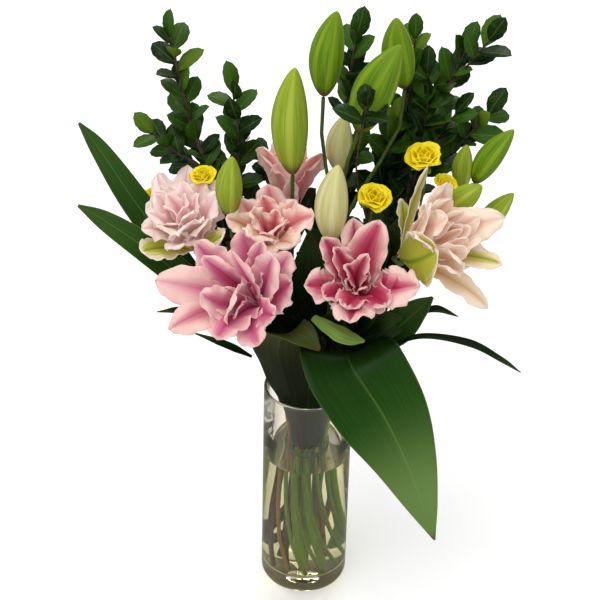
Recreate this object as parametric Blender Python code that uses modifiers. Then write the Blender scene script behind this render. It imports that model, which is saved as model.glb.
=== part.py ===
"""Double lilies with spray roses, broad leaves and woody foliage in a clear cylinder vase.

Metres, +Z up. The origin is the middle of the vase's underside. Every stem stands on the vase floor,
fans out and turns below one tie, and rises above it to its own flower, bud or leaf.
Places above the rim are in millimetres from the centre of the rim, and grow with SPREAD.
"""

import math

import bmesh
import bpy
from mathutils import Matrix, Vector

MM = 0.001
UP = Vector((0, 0, 1))

# The vase.
VASE_RADIUS = 0.050
VASE_HEIGHT = 0.268
VASE_WALL = 0.0035
VASE_FLOOR = 0.022
FOOT_ROUNDING = 0.014
WELL_ROUNDING = 0.010
INNER_RADIUS = VASE_RADIUS - VASE_WALL

# The water and the tie, measured down from the rim.
CLEARANCE = 0.0004
WATER_BELOW_RIM = 0.092
TIE_BELOW_RIM = 0.082
TIE_HEIGHT = 0.007
TIE_THICKNESS = 0.0018
WATER_LEVEL = VASE_HEIGHT - WATER_BELOW_RIM
TIE_LEVEL = VASE_HEIGHT - TIE_BELOW_RIM

# The stems.
LILY_STEM_RADIUS = 0.0042
PEDICEL_RADIUS = 0.0024
ROSE_STEM_RADIUS = 0.0024
WOODY_STEM_RADIUS = 0.0032
TWIG_RADIUS = 0.0015
LEAF_STALK_RADIUS = 0.0022
STEM_GAP = 0.0018
STEM_PITCH = 2 * LILY_STEM_RADIUS + STEM_GAP
STEM_END = VASE_FLOOR + 0.003
STEM_TURN = math.radians(65)
FAN_ROOM = WELL_ROUNDING / 3 + 0.002
FAN = (INNER_RADIUS - FAN_ROOM - LILY_STEM_RADIUS) / (2 * STEM_PITCH)

# The flowers and leaves.
SPREAD = 1.0
TEPAL_THICKNESS = 0.0012
LEAF_THICKNESS = 0.0010
BUD_LOBING = 0.05
SPRIG_LEAF_LENGTH = 0.034
SPRIG_LEAF_WIDTH = 0.021
SPRIG_LEAF_RISE = 0.0018
SPRIG_LEAF_STEP = 0.0145
SPRIG_LEAF_LOOK = Vector((0.0, -0.6, 0.8))

COLOURS = {
    "clear_glass": ((0.86, 0.90, 0.88), 0.03),
    "water": ((0.80, 0.86, 0.80), 0.02),
    "green_tie": ((0.05, 0.13, 0.05), 0.80),
    "lily_stem": ((0.20, 0.36, 0.10), 0.50),
    "pink_tepal": ((0.86, 0.42, 0.56), 0.55),
    "blush_tepal": ((0.93, 0.74, 0.74), 0.55),
    "green_bud": ((0.45, 0.58, 0.16), 0.45),
    "yellow_rose": ((0.93, 0.74, 0.06), 0.60),
    "woody_stem": ((0.16, 0.09, 0.06), 0.70),
    "glossy_leaf": ((0.05, 0.20, 0.05), 0.35),
    "sprig_leaf": ((0.12, 0.28, 0.08), 0.40),
}


# ---------------------------------------------------------------- scene and objects


def clear_scene():
    for old in list(bpy.data.objects):
        bpy.data.objects.remove(old)


def new_collection(name):
    made = bpy.data.collections.new(name)
    bpy.context.scene.collection.children.link(made)
    return made


def make_materials():
    made = {}
    for name, (colour, roughness) in COLOURS.items():
        material = bpy.data.materials.new(name)
        material.use_nodes = True
        shader = material.node_tree.nodes["Principled BSDF"]
        shader.inputs["Base Color"].default_value = (*colour, 1.0)
        shader.inputs["Roughness"].default_value = roughness
        shader.inputs["Metallic"].default_value = 0.0
        made[name] = material
    return made


def place(name, mesh, material):
    """A part in the bouquet's own collection."""
    made = bpy.data.objects.new(name, mesh)
    mesh.materials.clear()
    mesh.materials.append(MATERIALS[material])
    BOUQUET.objects.link(made)
    return made


def helper(name, mesh, group):
    """A cutter, or a shape that a union takes in. It isn't a part of its own."""
    made = bpy.data.objects.new(name, mesh)
    made.hide_render = True
    made.display_type = "WIRE"
    group.objects.link(made)
    return made


def boolean(target, group, operation):
    """Cuts or joins every helper in a collection."""
    modifier = target.modifiers.new(operation.lower(), "BOOLEAN")
    modifier.operation = operation
    modifier.solver = "EXACT"
    modifier.operand_type = "COLLECTION"
    modifier.collection = group
    modifier.use_self = False


def thicken(target, thickness):
    modifier = target.modifiers.new("thickness", "SOLIDIFY")
    modifier.thickness = thickness
    modifier.offset = 0.0
    modifier.use_even_offset = False


def baked(target):
    """The mesh of an object with its modifiers applied. The object itself is removed."""
    bpy.context.view_layer.update()
    graph = bpy.context.evaluated_depsgraph_get()
    mesh = bpy.data.meshes.new_from_object(target.evaluated_get(graph))
    mesh.transform(target.matrix_world)
    bpy.data.objects.remove(target)
    return mesh


# ---------------------------------------------------------------- geometry


def above_rim(x, y, z):
    """A place given in millimetres from the centre of the rim."""
    return Vector((x * MM * SPREAD, y * MM * SPREAD, VASE_HEIGHT + z * MM * SPREAD))


def spread(millimetres):
    return millimetres * MM * SPREAD


def frame_on(origin, axis, roll=0.0):
    """The matrix that stands a shape on origin with its Z along axis."""
    turn = Vector(axis).normalized().to_track_quat("Z", "Y").to_matrix().to_4x4()
    return Matrix.Translation(origin) @ turn @ Matrix.Rotation(math.radians(roll), 4, "Z")


def bezier(a, b, c, d, steps):
    made = []
    for i in range(steps + 1):
        t = i / steps
        s = 1 - t
        made.append(a * s**3 + b * 3 * s * s * t + c * 3 * s * t * t + d * t**3)
    return made


def through(points, steps):
    """A smooth Catmull-Rom line through a list of places, with steps points to each stretch."""
    ends = [points[0] * 2 - points[1], *points, points[-1] * 2 - points[-2]]
    made = []
    for i in range(len(points) - 1):
        a, b, c, d = ends[i : i + 4]
        for k in range(steps):
            t = k / steps
            made.append(
                (b * 2 + (c - a) * t + (a * 2 - b * 5 + c * 4 - d) * t**2 + (b * 3 - a - c * 3 + d) * t**3) / 2
            )
    made.append(points[-1])
    return made


def mix(values, t):
    """Reads a list of evenly spaced values, numbers or vectors, at t from 0 to 1."""
    at = min(max(t, 0.0), 1.0) * (len(values) - 1)
    i = min(int(at), len(values) - 2)
    return values[i] * (1 - (at - i)) + values[i + 1] * (at - i)


def tube_mesh(name, path, radii, rounding=1):
    """A round stem along path, closed at both ends, as one welded mesh. radii holds its size from end to end."""
    curve = bpy.data.curves.new(name, "CURVE")
    curve.dimensions = "3D"
    curve.bevel_depth = 1.0
    curve.bevel_resolution = rounding
    curve.use_fill_caps = True
    line = curve.splines.new("POLY")
    line.points.add(len(path) - 1)
    for i, (point, at) in enumerate(zip(line.points, path)):
        point.co = (*at, 1.0)
        point.radius = mix(radii, i / (len(path) - 1))
    rod = bpy.data.objects.new(name, curve)
    bpy.context.scene.collection.objects.link(rod)
    mesh = baked(rod)
    bpy.data.curves.remove(curve)
    shape = bmesh.new()
    shape.from_mesh(mesh)
    bmesh.ops.remove_doubles(shape, verts=shape.verts, dist=0.00001)
    bmesh.ops.recalc_face_normals(shape, faces=shape.faces)
    shape.to_mesh(mesh)
    shape.free()
    return mesh


def turned_mesh(name, profile, steps):
    """A solid of revolution about Z. The profile starts and ends on the axis and runs down its outer side."""
    mesh = bpy.data.meshes.new(name)
    mesh.from_pydata([(r, 0, z) for r, z in profile], [(i, i + 1) for i in range(len(profile) - 1)], [])
    outline = bpy.data.objects.new(name, mesh)
    bpy.context.scene.collection.objects.link(outline)
    modifier = outline.modifiers.new("turn", "SCREW")
    modifier.steps = steps
    modifier.render_steps = steps
    modifier.use_merge_vertices = True
    modifier.merge_threshold = 0.00005
    made = baked(outline)
    made.shade_smooth()
    made.set_sharp_from_angle(angle=math.radians(35))
    return made


def arc(centre_r, centre_z, radius, start, end, steps):
    """Points of an arc in a turned profile, angles in degrees from the +R axis."""
    angles = [math.radians(start + (end - start) * i / steps) for i in range(steps + 1)]
    return [(centre_r + radius * math.cos(a), centre_z + radius * math.sin(a)) for a in angles]


def sheet_mesh(name, columns, rows, surface, closed=False):
    """An open sheet of columns by rows, shaped by surface(u, v) with u and v from 0 to 1. A closed one wraps round in u."""
    shape = bmesh.new()
    bmesh.ops.create_grid(shape, x_segments=columns, y_segments=rows, size=0.5)
    for vertex in shape.verts:
        vertex.co = surface(vertex.co.x + 0.5, vertex.co.y + 0.5)
    if closed:
        bmesh.ops.remove_doubles(shape, verts=shape.verts, dist=0.000001)
        bmesh.ops.recalc_face_normals(shape, faces=shape.faces)
    mesh = bpy.data.meshes.new(name)
    shape.to_mesh(mesh)
    shape.free()
    mesh.shade_smooth()
    return mesh


def ball_mesh(name, segments, rings, surface):
    """A closed sphere shaped by surface(angle, height), with height from 0 at its foot to 1 at its top."""
    shape = bmesh.new()
    bmesh.ops.create_uvsphere(shape, u_segments=segments, v_segments=rings, radius=1.0)
    for vertex in shape.verts:
        height = math.acos(max(-1.0, min(1.0, -vertex.co.z))) / math.pi
        vertex.co = surface(math.atan2(vertex.co.y, vertex.co.x), height)
    mesh = bpy.data.meshes.new(name)
    shape.to_mesh(mesh)
    shape.free()
    mesh.shade_smooth()
    return mesh


# ---------------------------------------------------------------- vase, water and tie


def vase():
    lip = VASE_WALL / 2
    well = VASE_FLOOR + WELL_ROUNDING
    profile = [(0.0, VASE_FLOOR)]
    profile += arc(INNER_RADIUS - WELL_ROUNDING, well, WELL_ROUNDING, -90, 0, 4)
    profile += arc(INNER_RADIUS + lip, VASE_HEIGHT - lip, lip, 180, 0, 4)
    profile += arc(VASE_RADIUS - FOOT_ROUNDING, FOOT_ROUNDING, FOOT_ROUNDING, 0, -90, 4)
    profile += [(0.0, 0.0)]
    place("glass_vase", turned_mesh("glass_vase", profile, 32), "clear_glass")


def water(cutters):
    side = INNER_RADIUS - CLEARANCE
    foot = VASE_FLOOR + CLEARANCE
    rounding = WELL_ROUNDING
    profile = [(0.0, WATER_LEVEL), (side, WATER_LEVEL)]
    profile += arc(side - rounding, foot + rounding, rounding, 0, -90, 3)
    profile += [(0.0, foot)]
    body = place("water", turned_mesh("water", profile, 32), "water")
    boolean(body, cutters, "DIFFERENCE")


def tie():
    inside = 2 * STEM_PITCH + LILY_STEM_RADIUS + 2 * CLEARANCE
    band = sheet_mesh(
        "stem_tie",
        24,
        1,
        lambda u, v: Vector((inside, 0, TIE_LEVEL + (v - 0.5) * TIE_HEIGHT)) @ Matrix.Rotation(-2 * math.pi * u, 3, "Z"),
        closed=True,
    )
    ring = place("stem_tie", band, "green_tie")
    modifier = ring.modifiers.new("thickness", "SOLIDIFY")
    modifier.thickness = TIE_THICKNESS
    modifier.offset = 1.0


# ---------------------------------------------------------------- stems


class Slot:
    """One stem's place in the bundle: its ring, 0 to 2, and its azimuth in degrees."""

    def __init__(self, ring, azimuth):
        angle = math.radians(azimuth)
        reach = ring * STEM_PITCH
        self.flat = Vector((reach * math.cos(angle), reach * math.sin(angle), 0))
        self.tie = self.flat + UP * TIE_LEVEL

    def below(self, steps, foot=STEM_END):
        """Points from the stem's cut end up to the tie: it turns and draws in on the way."""
        made = []
        for i in range(steps):
            t = 1 - i / steps
            turn = Matrix.Rotation(STEM_TURN * t * t, 3, "Z")
            made.append(turn @ self.flat * (1 + (FAN - 1) * t * t) + UP * (TIE_LEVEL + (foot - TIE_LEVEL) * t))
        return made

    def above(self, head, axis, steps):
        """Points from the tie to head, where the stem points along axis."""
        rise = head.z - self.tie.z
        early = self.tie + self.flat * 0.5 + UP * rise * 0.42
        late = head - Vector(axis).normalized() * rise * 0.30
        return bezier(self.tie, early, late, head, steps)


def wet_cutter(name, slot, radius, cutters, rounding=1):
    """The room that a stem takes in the water."""
    path = slot.below(4, STEM_END - CLEARANCE) + [slot.tie]
    room = radius + CLEARANCE
    helper(name + "_in_water", tube_mesh(name, path, [room, room], rounding), cutters)


def stem(name, slot, head, axis, radii, material, cutters, rounding=1, steps=6):
    path = slot.below(4) + slot.above(head, axis, steps)
    wet_cutter(name, slot, radii[0], cutters, rounding)
    return place(name, tube_mesh(name, path, [radii[0], radii[0], *radii[1:]], rounding), material)


def side_stem(name, start, end, axis, radii, group, steps=4):
    """A pedicel or twig that leaves a stem at start and points along axis at end."""
    reach = (end - start).length
    aim = Vector(axis).normalized()
    path = bezier(start, start + (end - start) * 0.3 + UP * reach * 0.12, end - aim * reach * 0.35, end, steps)
    helper(name, tube_mesh(name, path, radii), group)


# ---------------------------------------------------------------- lilies


def bud(name, foot, tip, girth):
    """A closed lily bud, slightly three-sided, from its foot to its pointed tip. girth is its widest radius in millimetres."""
    length = (tip - foot).length
    widest = spread(girth)

    def surface(angle, height):
        swell = math.sin(math.pi * height**0.85) ** 0.75 if 0 < height < 1 else 0.0
        radius = widest * swell * (1 + BUD_LOBING * math.cos(3 * angle))
        return Vector((radius * math.cos(angle), radius * math.sin(angle), length * height))

    made = place(name, ball_mesh(name, 9, 9, surface), "green_bud")
    made.matrix_world = frame_on(foot, tip - foot)


def tepals(name, seat, axis, roll, mouth, height, throat, foot, notch, material):
    """One whorl of six joined tepals: a trumpet with six pointed lobes. Sizes in millimetres from its seat."""

    def surface(u, v):
        angle = 2 * math.pi * u
        lobe = notch + (1 - notch) * abs(math.cos(3 * angle)) ** 0.6
        along = v * lobe
        at = bezier(
            Vector((throat * 0.25, 0, foot)),
            Vector((throat * 1.1, 0, foot + 1.0)),
            Vector((throat * 1.15, 0, foot + height * 0.55)),
            Vector((mouth, 0, height)),
            16,
        )
        place_on = mix(at, along)
        return Vector((place_on.x * math.cos(angle), place_on.x * math.sin(angle), place_on.z)) * MM * SPREAD

    made = place(name, sheet_mesh(name, 24, 3, surface, closed=True), material)
    made.matrix_world = frame_on(seat, axis, roll)
    thicken(made, TEPAL_THICKNESS)


def bloom(name, seat, axis, roll, outer, inner, material):
    """A double lily: an open outer whorl and a steeper inner one. outer and inner are (mouth, height) in millimetres."""
    tepals(name + "_outer_tepals", seat, axis, roll, outer[0], outer[1], 13.0, 1.2, 0.42, material)
    tepals(name + "_inner_tepals", seat, axis, roll + 30, inner[0], inner[1], 8.5, 7.0, 0.50, material)


# name, seat, axis, roll, (outer mouth, height), (inner mouth, height), material
BLOOMS = {
    "lily_left": ((-124, 3, 169), (-0.24, -0.38, 0.89), 0, (50, 72), (38, 78), "blush_tepal"),
    "lily_front_left": ((-54, -72, 146), (-0.46, -0.72, 0.52), 10, (80, 46), (46, 62), "pink_tepal"),
    "lily_middle": ((-45, -20, 186), (0.03, -0.43, 0.90), 0, (45, 62), (30, 68), "pink_tepal"),
    "lily_front": ((47, -70, 146), (0.00, -0.50, 0.87), 20, (61, 60), (40, 70), "pink_tepal"),
    "lily_right": ((91, -26, 185), (0.72, -0.42, 0.55), 0, (60, 64), (36, 74), "blush_tepal"),
    "lily_back": ((-22, 48, 186), (-0.05, 0.05, 0.99), 0, (40, 96), (26, 84), "blush_tepal"),
}

# name: foot, tip, girth
BUDS = {
    "bud_top": ((7, 20, 346), (18, 20, 441), 17.5),
    "bud_middle": ((-23, -2, 266), (-23, -8, 391), 19),
    "bud_right_top": ((44, 4, 313), (83, 4, 413), 21),
    "bud_far_top": ((92, 52, 342), (79, 52, 422), 17),
    "bud_left": ((-87, -22, 225), (-85, -26, 298), 14),
    "bud_pale": ((19, -52, 214), (23, -54, 306), 17),
    "bud_right": ((167, 4, 258), (204, 4, 322), 13),
    "bud_right_inner": ((158, 34, 234), (160, 34, 288), 11),
    "bud_right_low": ((144, -8, 231), (174, -15, 266), 13),
    "bud_far_right": ((178, 12, 188), (210, 4, 248), 12),
    "bud_cream": ((26, 44, 246), (30, 42, 315), 14),
}

# name: slot, fork, the flowers and buds it carries
LILY_STEMS = {
    "lily_stem_left": (Slot(1, 210), (-66, 2, 130), ("lily_left", "bud_left", "lily_front_left")),
    "lily_stem_middle": (Slot(0, 0), (-22, 12, 150), ("lily_middle", "bud_middle", "lily_back")),
    "lily_stem_front": (Slot(1, 270), (20, -36, 120), ("lily_front", "bud_pale")),
    "lily_stem_back": (Slot(1, 30), (26, 24, 180), ("bud_top", "bud_right_top", "bud_far_top", "bud_cream")),
    "lily_stem_right": (
        Slot(2, 0),
        (94, 10, 156),
        ("lily_right", "bud_right", "bud_right_inner", "bud_right_low", "bud_far_right"),
    ),
}


def seat_of(head):
    """Where a flower or a bud meets its pedicel, and the way it points."""
    if head in BLOOMS:
        return above_rim(*BLOOMS[head][0]), Vector(BLOOMS[head][1]).normalized()
    foot, tip = (above_rim(*at) for at in BUDS[head][:2])
    return foot, (tip - foot).normalized()


def lilies(cutters):
    for name, (seat, axis, roll, outer, inner, material) in BLOOMS.items():
        bloom(name, above_rim(*seat), Vector(axis), roll, outer, inner, material)
    for name, (foot, tip, girth) in BUDS.items():
        bud(name, above_rim(*foot), above_rim(*tip), girth)
    for name, (slot, fork, heads) in LILY_STEMS.items():
        crotch = above_rim(*fork)
        radii = [LILY_STEM_RADIUS, LILY_STEM_RADIUS, LILY_STEM_RADIUS * 0.8]
        lean = Vector((crotch.x, crotch.y, 2 * (crotch.z - VASE_HEIGHT)))
        trunk = stem(name, slot, crotch, lean, radii, "lily_stem", cutters, rounding=2)
        pedicels = new_collection(name + "_pedicels")
        for head in heads:
            seat, axis = seat_of(head)
            start = crotch - lean.normalized() * LILY_STEM_RADIUS
            side_stem(head + "_pedicel", start, seat - axis * CLEARANCE, axis, [PEDICEL_RADIUS] * 3, pedicels)
        boolean(trunk, pedicels, "UNION")


# ---------------------------------------------------------------- roses

# name: foot, axis, (radius, height)
ROSES = {
    "rose_middle": ((61, -22, 240), (0.05, -0.35, 0.94), (17, 28)),
    "rose_right_upper": ((116, 6, 274), (-0.15, -0.35, 0.92), (19, 28)),
    "rose_right_lower": ((133, 9, 245), (0.40, -0.40, 0.82), (13, 21)),
    "rose_left_upper": ((-116, 20, 240), (-0.10, -0.30, 0.95), (14, 22)),
    "rose_left_lower": ((-169, 46, 204), (-0.40, -0.30, 0.86), (11, 18)),
}

# name: slot, fork, the roses it carries
ROSE_STEMS = {
    "rose_stem_middle": (Slot(1, 330), (56, -8, 190), ("rose_middle",)),
    "rose_stem_right": (Slot(2, 30), (112, 20, 200), ("rose_right_upper", "rose_right_lower")),
    "rose_stem_left": (Slot(2, 180), (-98, 28, 154), ("rose_left_upper", "rose_left_lower")),
}


def rose(name, foot, axis, radius, height):
    """A half-open rose head: a rounded cup with five soft folds that wind about its axis."""

    def surface(angle, at):
        swell = math.sin(math.pi * at**0.8) ** 0.6 if 0 < at < 1 else 0.0
        fold = 1 + 0.07 * math.cos(5 * angle + 5 * at)
        out = spread(radius) * swell * fold
        return Vector((out * math.cos(angle), out * math.sin(angle), spread(height) * at))

    made = place(name, ball_mesh(name, 10, 8, surface), "yellow_rose")
    made.matrix_world = frame_on(foot, axis)


def roses(cutters):
    for name, (foot, axis, (radius, height)) in ROSES.items():
        rose(name, above_rim(*foot), Vector(axis), radius, height)
    for name, (slot, fork, heads) in ROSE_STEMS.items():
        crotch = above_rim(*fork)
        lean = Vector((crotch.x, crotch.y, 2 * (crotch.z - VASE_HEIGHT)))
        trunk = stem(name, slot, crotch, lean, [ROSE_STEM_RADIUS] * 3, "lily_stem", cutters)
        twigs = new_collection(name + "_twigs")
        for head in heads:
            foot, axis = above_rim(*ROSES[head][0]), Vector(ROSES[head][1]).normalized()
            start = crotch - lean.normalized() * ROSE_STEM_RADIUS
            side_stem(head + "_stalk", start, foot - axis * CLEARANCE, axis, [TWIG_RADIUS] * 2, twigs, 3)
        boolean(trunk, twigs, "UNION")


# ---------------------------------------------------------------- broad leaves


def blade(name, spine, material, rows, columns=4, fold=0.14):
    """A leaf along spine, a list of (place, width in metres, the way its face looks). Its midrib lies lower than its edges."""
    places = [at for at, _, _ in spine]
    line = through(places, 8)
    widths = [width for _, width, _ in spine]
    faces = [Vector(face).normalized() for _, _, face in spine]

    def surface(u, v):
        at = mix(line, v)
        along = (mix(line, v + 0.01) - mix(line, v - 0.01)).normalized()
        face = mix(faces, v)
        side = along.cross(face).normalized()
        face = side.cross(along).normalized()
        across = 2 * u - 1
        half = mix(widths, v) / 2
        return at + side * across * half + face * abs(across) * half * fold * 2

    made = place(name, sheet_mesh(name, columns, rows, surface), material)
    thicken(made, LEAF_THICKNESS)
    return made


# name: slot, then (x, y, z, width, face) from there to its tip. Its face at the tie looks at the axis.
BROAD_LEAVES = {
    "broad_leaf_upper_left": (
        Slot(2, 210),
        (
            (-30, -20, 10, 9, (0.7, 0.2, 0.5)),
            (-72, -20, 86, 16, (0.4, -0.3, 0.8)),
            (-130, 2, 136, 27, (0.1, -0.7, 0.6)),
            (-188, 26, 208, 32, (0.1, -0.8, 0.6)),
            (-228, 34, 271, 20, (0.1, -0.8, 0.5)),
            (-249, 36, 301, 4, (0.1, -0.8, 0.5)),
        ),
    ),
    "broad_leaf_lower_left": (
        Slot(2, 240),
        (
            (-22, -28, 10, 10, (0.4, 0.6, 0.5)),
            (-60, -34, 76, 18, (0.2, -0.1, 0.9)),
            (-112, -28, 128, 28, (0.1, -0.6, 0.8)),
            (-170, -24, 180, 31, (0.1, -0.8, 0.6)),
            (-218, -22, 216, 21, (0.2, -0.8, 0.5)),
            (-246, -22, 234, 4, (0.2, -0.8, 0.5)),
        ),
    ),
    "broad_leaf_hanging": (
        Slot(2, 300),
        (
            (18, -33, -10, 30, (-0.4, 0.9, 0.1)),
            (28, -56, 52, 56, (-0.3, 0.8, 0.4)),
            (36, -92, 104, 92, (-0.1, 0.3, 0.95)),
            (46, -126, 104, 102, (0.0, -0.6, 0.8)),
            (76, -146, 66, 94, (0.1, -0.9, 0.4)),
            (103, -157, 14, 64, (0.15, -0.97, 0.2)),
            (122, -160, -38, 34, (0.2, -0.97, 0.1)),
            (139, -160, -88, 3, (0.2, -0.97, 0.1)),
        ),
    ),
    "broad_leaf_folded": (
        Slot(2, 270),
        (
            (-14, -34, -12, 28, (0.3, 0.9, 0.1)),
            (-24, -46, 34, 46, (0.3, 0.9, 0.2)),
            (-36, -66, 84, 50, (0.2, 0.85, 0.4)),
            (-30, -88, 122, 48, (0.0, 0.4, 0.9)),
            (-8, -104, 132, 32, (-0.1, -0.3, 0.95)),
            (10, -112, 120, 4, (-0.1, -0.6, 0.8)),
        ),
    ),
    "broad_leaf_right": (
        Slot(2, 330),
        (
            (34, -16, 8, 10, (-0.6, 0.3, 0.5)),
            (66, -24, 58, 30, (-0.3, -0.1, 0.9)),
            (94, -24, 92, 42, (0.0, -0.5, 0.85)),
            (116, -16, 112, 26, (-0.1, -0.6, 0.8)),
            (132, -8, 124, 3, (-0.1, -0.6, 0.8)),
        ),
    ),
}


def broad_leaves(cutters):
    for name, (slot, places) in BROAD_LEAVES.items():
        start = slot.tie + UP * (TIE_HEIGHT / 2 + 0.001)
        spine = [(start, 1.8 * LEAF_STALK_RADIUS, -slot.flat)]
        spine += [(above_rim(x, y, z), spread(width), look) for x, y, z, width, look in places]
        leaf = blade(name, spine, "glossy_leaf", 12)
        stalk = new_collection(name + "_stalk")
        path = slot.below(4) + [slot.tie, slot.tie + UP * TIE_HEIGHT]
        helper(name + "_stalk", tube_mesh(name + "_stalk", path, [LEAF_STALK_RADIUS] * 2), stalk)
        wet_cutter(name, slot, LEAF_STALK_RADIUS, cutters)
        boolean(leaf, stalk, "UNION")


# name: (x, y, z, width, face) from the stem to its tip
LILY_LEAVES = {
    "lily_leaf_long": (
        (80, -52, 84, 3, (0, -0.4, 0.9)),
        (118, -56, 104, 7, (0, -0.4, 0.9)),
        (170, -50, 93, 9, (0.1, -0.5, 0.85)),
        (206, -50, 73, 7, (0.2, -0.5, 0.85)),
        (229, -50, 57, 1.5, (0.2, -0.5, 0.85)),
    ),
    "lily_leaf_right": (
        (118, 8, 92, 3, (0, -0.4, 0.9)),
        (138, 6, 100, 9, (0, -0.5, 0.9)),
        (162, 0, 95, 2, (0, -0.5, 0.9)),
    ),
    "lily_leaf_lower_left": (
        (-62, -58, 74, 3, (0, -0.5, 0.9)),
        (-88, -56, 86, 9, (0, -0.5, 0.9)),
        (-126, -50, 98, 2, (0, -0.5, 0.9)),
    ),
    "lily_leaf_far_left": (
        (-112, -2, 86, 3, (0, -0.5, 0.9)),
        (-140, -4, 96, 9, (0, -0.5, 0.9)),
        (-168, -6, 95, 2, (0, -0.5, 0.9)),
    ),
    "lily_leaf_under_front": (
        (6, -98, 146, 8, (-0.2, 0.6, -0.75)),
        (22, -112, 140, 20, (-0.2, 0.5, -0.8)),
        (40, -122, 136, 22, (-0.1, 0.4, -0.9)),
        (56, -128, 138, 3, (0, 0.4, -0.9)),
    ),
    "lily_leaf_inner_left": (
        (2, -14, 64, 5, (0, -0.95, 0.3)),
        (0, -12, 112, 22, (0, -0.95, 0.3)),
        (-2, -10, 158, 22, (0, -0.95, 0.3)),
        (-4, -8, 204, 2, (0, -0.95, 0.3)),
    ),
    "lily_leaf_inner_middle": (
        (18, -10, 92, 5, (0.2, -0.95, 0.3)),
        (18, -6, 130, 20, (0.2, -0.95, 0.3)),
        (16, -6, 182, 2, (0.2, -0.95, 0.3)),
    ),
    "lily_leaf_inner_right": (
        (60, 14, 116, 5, (0, -0.95, 0.3)),
        (64, 16, 168, 26, (0, -0.95, 0.3)),
        (66, 18, 232, 2, (0, -0.95, 0.3)),
    ),
    "lily_leaf_inner_back": (
        (-56, 36, 150, 5, (0, -0.95, 0.3)),
        (-62, 40, 190, 24, (0, -0.95, 0.3)),
        (-66, 44, 240, 2, (0, -0.95, 0.3)),
    ),
    "lily_leaf_inner_low": (
        (32, -42, 88, 6, (0, -0.8, 0.6)),
        (62, -44, 110, 30, (0, -0.8, 0.6)),
        (98, -40, 118, 3, (0, -0.8, 0.6)),
    ),
}


def lily_leaves():
    for name, places in LILY_LEAVES.items():
        spine = [(above_rim(x, y, z), spread(width), look) for x, y, z, width, look in places]
        blade(name, spine, "sprig_leaf", 8, columns=2)


# ---------------------------------------------------------------- woody foliage

# name: slot, then each branch as (leafless share, places); the first branch is the stem's own top
SPRIGS = {
    "foliage_left_tall": (
        Slot(2, 150),
        ((0.28, ((-72, 54, 120), (-108, 54, 222), (-133, 60, 292), (-145, 66, 342), (-155, 70, 398))),),
    ),
    "foliage_left_low": (
        Slot(1, 150),
        (
            (0.50, ((-88, 30, 150), (-118, 44, 240), (-146, 46, 262), (-172, 46, 286))),
            (0.45, ((-88, 30, 150), (-82, 42, 250), (-82, 46, 292), (-88, 50, 334))),
        ),
    ),
    "foliage_back": (
        Slot(1, 90),
        (
            (0.74, ((14, 60, 140), (26, 76, 250), (34, 84, 330), (40, 88, 382))),
            (0.48, ((14, 60, 140), (-26, 84, 205), (-60, 84, 240))),
        ),
    ),
    "foliage_right_tall": (
        Slot(2, 90),
        (
            (0.22, ((52, 60, 130), (84, 68, 240), (98, 80, 318), (102, 88, 384))),
            (0.15, ((84, 68, 240), (116, 76, 290), (138, 80, 332), (156, 84, 374))),
        ),
    ),
    "foliage_right_wide": (
        Slot(2, 60),
        (
            (0.30, ((76, 40, 130), (106, 50, 236), (126, 55, 278), (148, 58, 312))),
            (0.25, ((106, 50, 236), (140, 54, 262), (162, 54, 288), (182, 56, 314))),
            (0.80, ((76, 40, 130), (54, 14, 218), (43, -10, 280), (50, -34, 356))),
        ),
    ),
}


def leaf_mesh(name, length, width):
    """One small leaf in its own frame: its stalk at the origin, its tip along +Y, widest beyond the middle."""
    shape = bmesh.new()
    bmesh.ops.create_cone(shape, cap_ends=True, segments=6, radius1=1.0, radius2=0.0, depth=1.0)
    bmesh.ops.remove_doubles(shape, verts=shape.verts, dist=0.0001)
    for vertex in shape.verts:
        rim = vertex.co.z < 0
        along = (1 + vertex.co.y) / 2
        across = vertex.co.x * width / 2 * (0.75 + 0.35 * along)
        vertex.co = (across, along * length, 0 if rim else SPRIG_LEAF_RISE)
    mesh = bpy.data.meshes.new(name)
    shape.to_mesh(mesh)
    shape.free()
    return mesh


def leaves_along(name, line, bare, group):
    """Leaves set round a branch by a fixed turn, from its bare foot to a last one at its tip."""
    lengths = [0.0]
    for a, b in zip(line, line[1:]):
        lengths.append(lengths[-1] + (b - a).length)
    total = lengths[-1]
    count = int(total * (1 - bare) / SPRIG_LEAF_STEP)
    for i in range(count + 1):
        t = bare + (1 - bare) * i / count
        at = mix(line, t)
        along = (mix(line, t + 0.02) - mix(line, t - 0.02)).normalized()
        out = Matrix.Rotation(math.radians(144 * i), 3, along) @ along.orthogonal().normalized()
        lean = math.radians(12 if i == count else 52)
        tip = along * math.cos(lean) + out * math.sin(lean)
        size = 1.0 - 0.25 * t
        mesh = leaf_mesh(name, SPRIG_LEAF_LENGTH * size * SPREAD, SPRIG_LEAF_WIDTH * size * SPREAD)
        side = tip.cross(SPRIG_LEAF_LOOK + along * 0.3).normalized()
        face = side.cross(tip).normalized()
        turn = Matrix((side, tip, face)).transposed().to_4x4()
        made = helper(f"{name}_leaf_{i}", mesh, group)
        made.matrix_world = Matrix.Translation(at - along * TWIG_RADIUS * 0.2) @ turn


def foliage(cutters):
    for name, (slot, branches) in SPRIGS.items():
        grown = new_collection(name + "_growth")
        for k, (bare, places) in enumerate(branches):
            line = through([above_rim(*at) for at in places], 4)
            leaves_along(f"{name}_{k}", line, bare, grown)
            if k == 0:
                base = slot.below(4) + slot.above(line[0], line[1] - line[0], 5)
                path = base + line[1:]
                radii = [WOODY_STEM_RADIUS, WOODY_STEM_RADIUS, TWIG_RADIUS * 1.5, TWIG_RADIUS * 0.8]
                wet_cutter(name, slot, WOODY_STEM_RADIUS, cutters)
                trunk = place(name, tube_mesh(name, path, radii), "woody_stem")
            else:
                helper(f"{name}_branch_{k}", tube_mesh(name, line, [TWIG_RADIUS, TWIG_RADIUS * 0.8]), grown)
        boolean(trunk, grown, "UNION")


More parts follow.
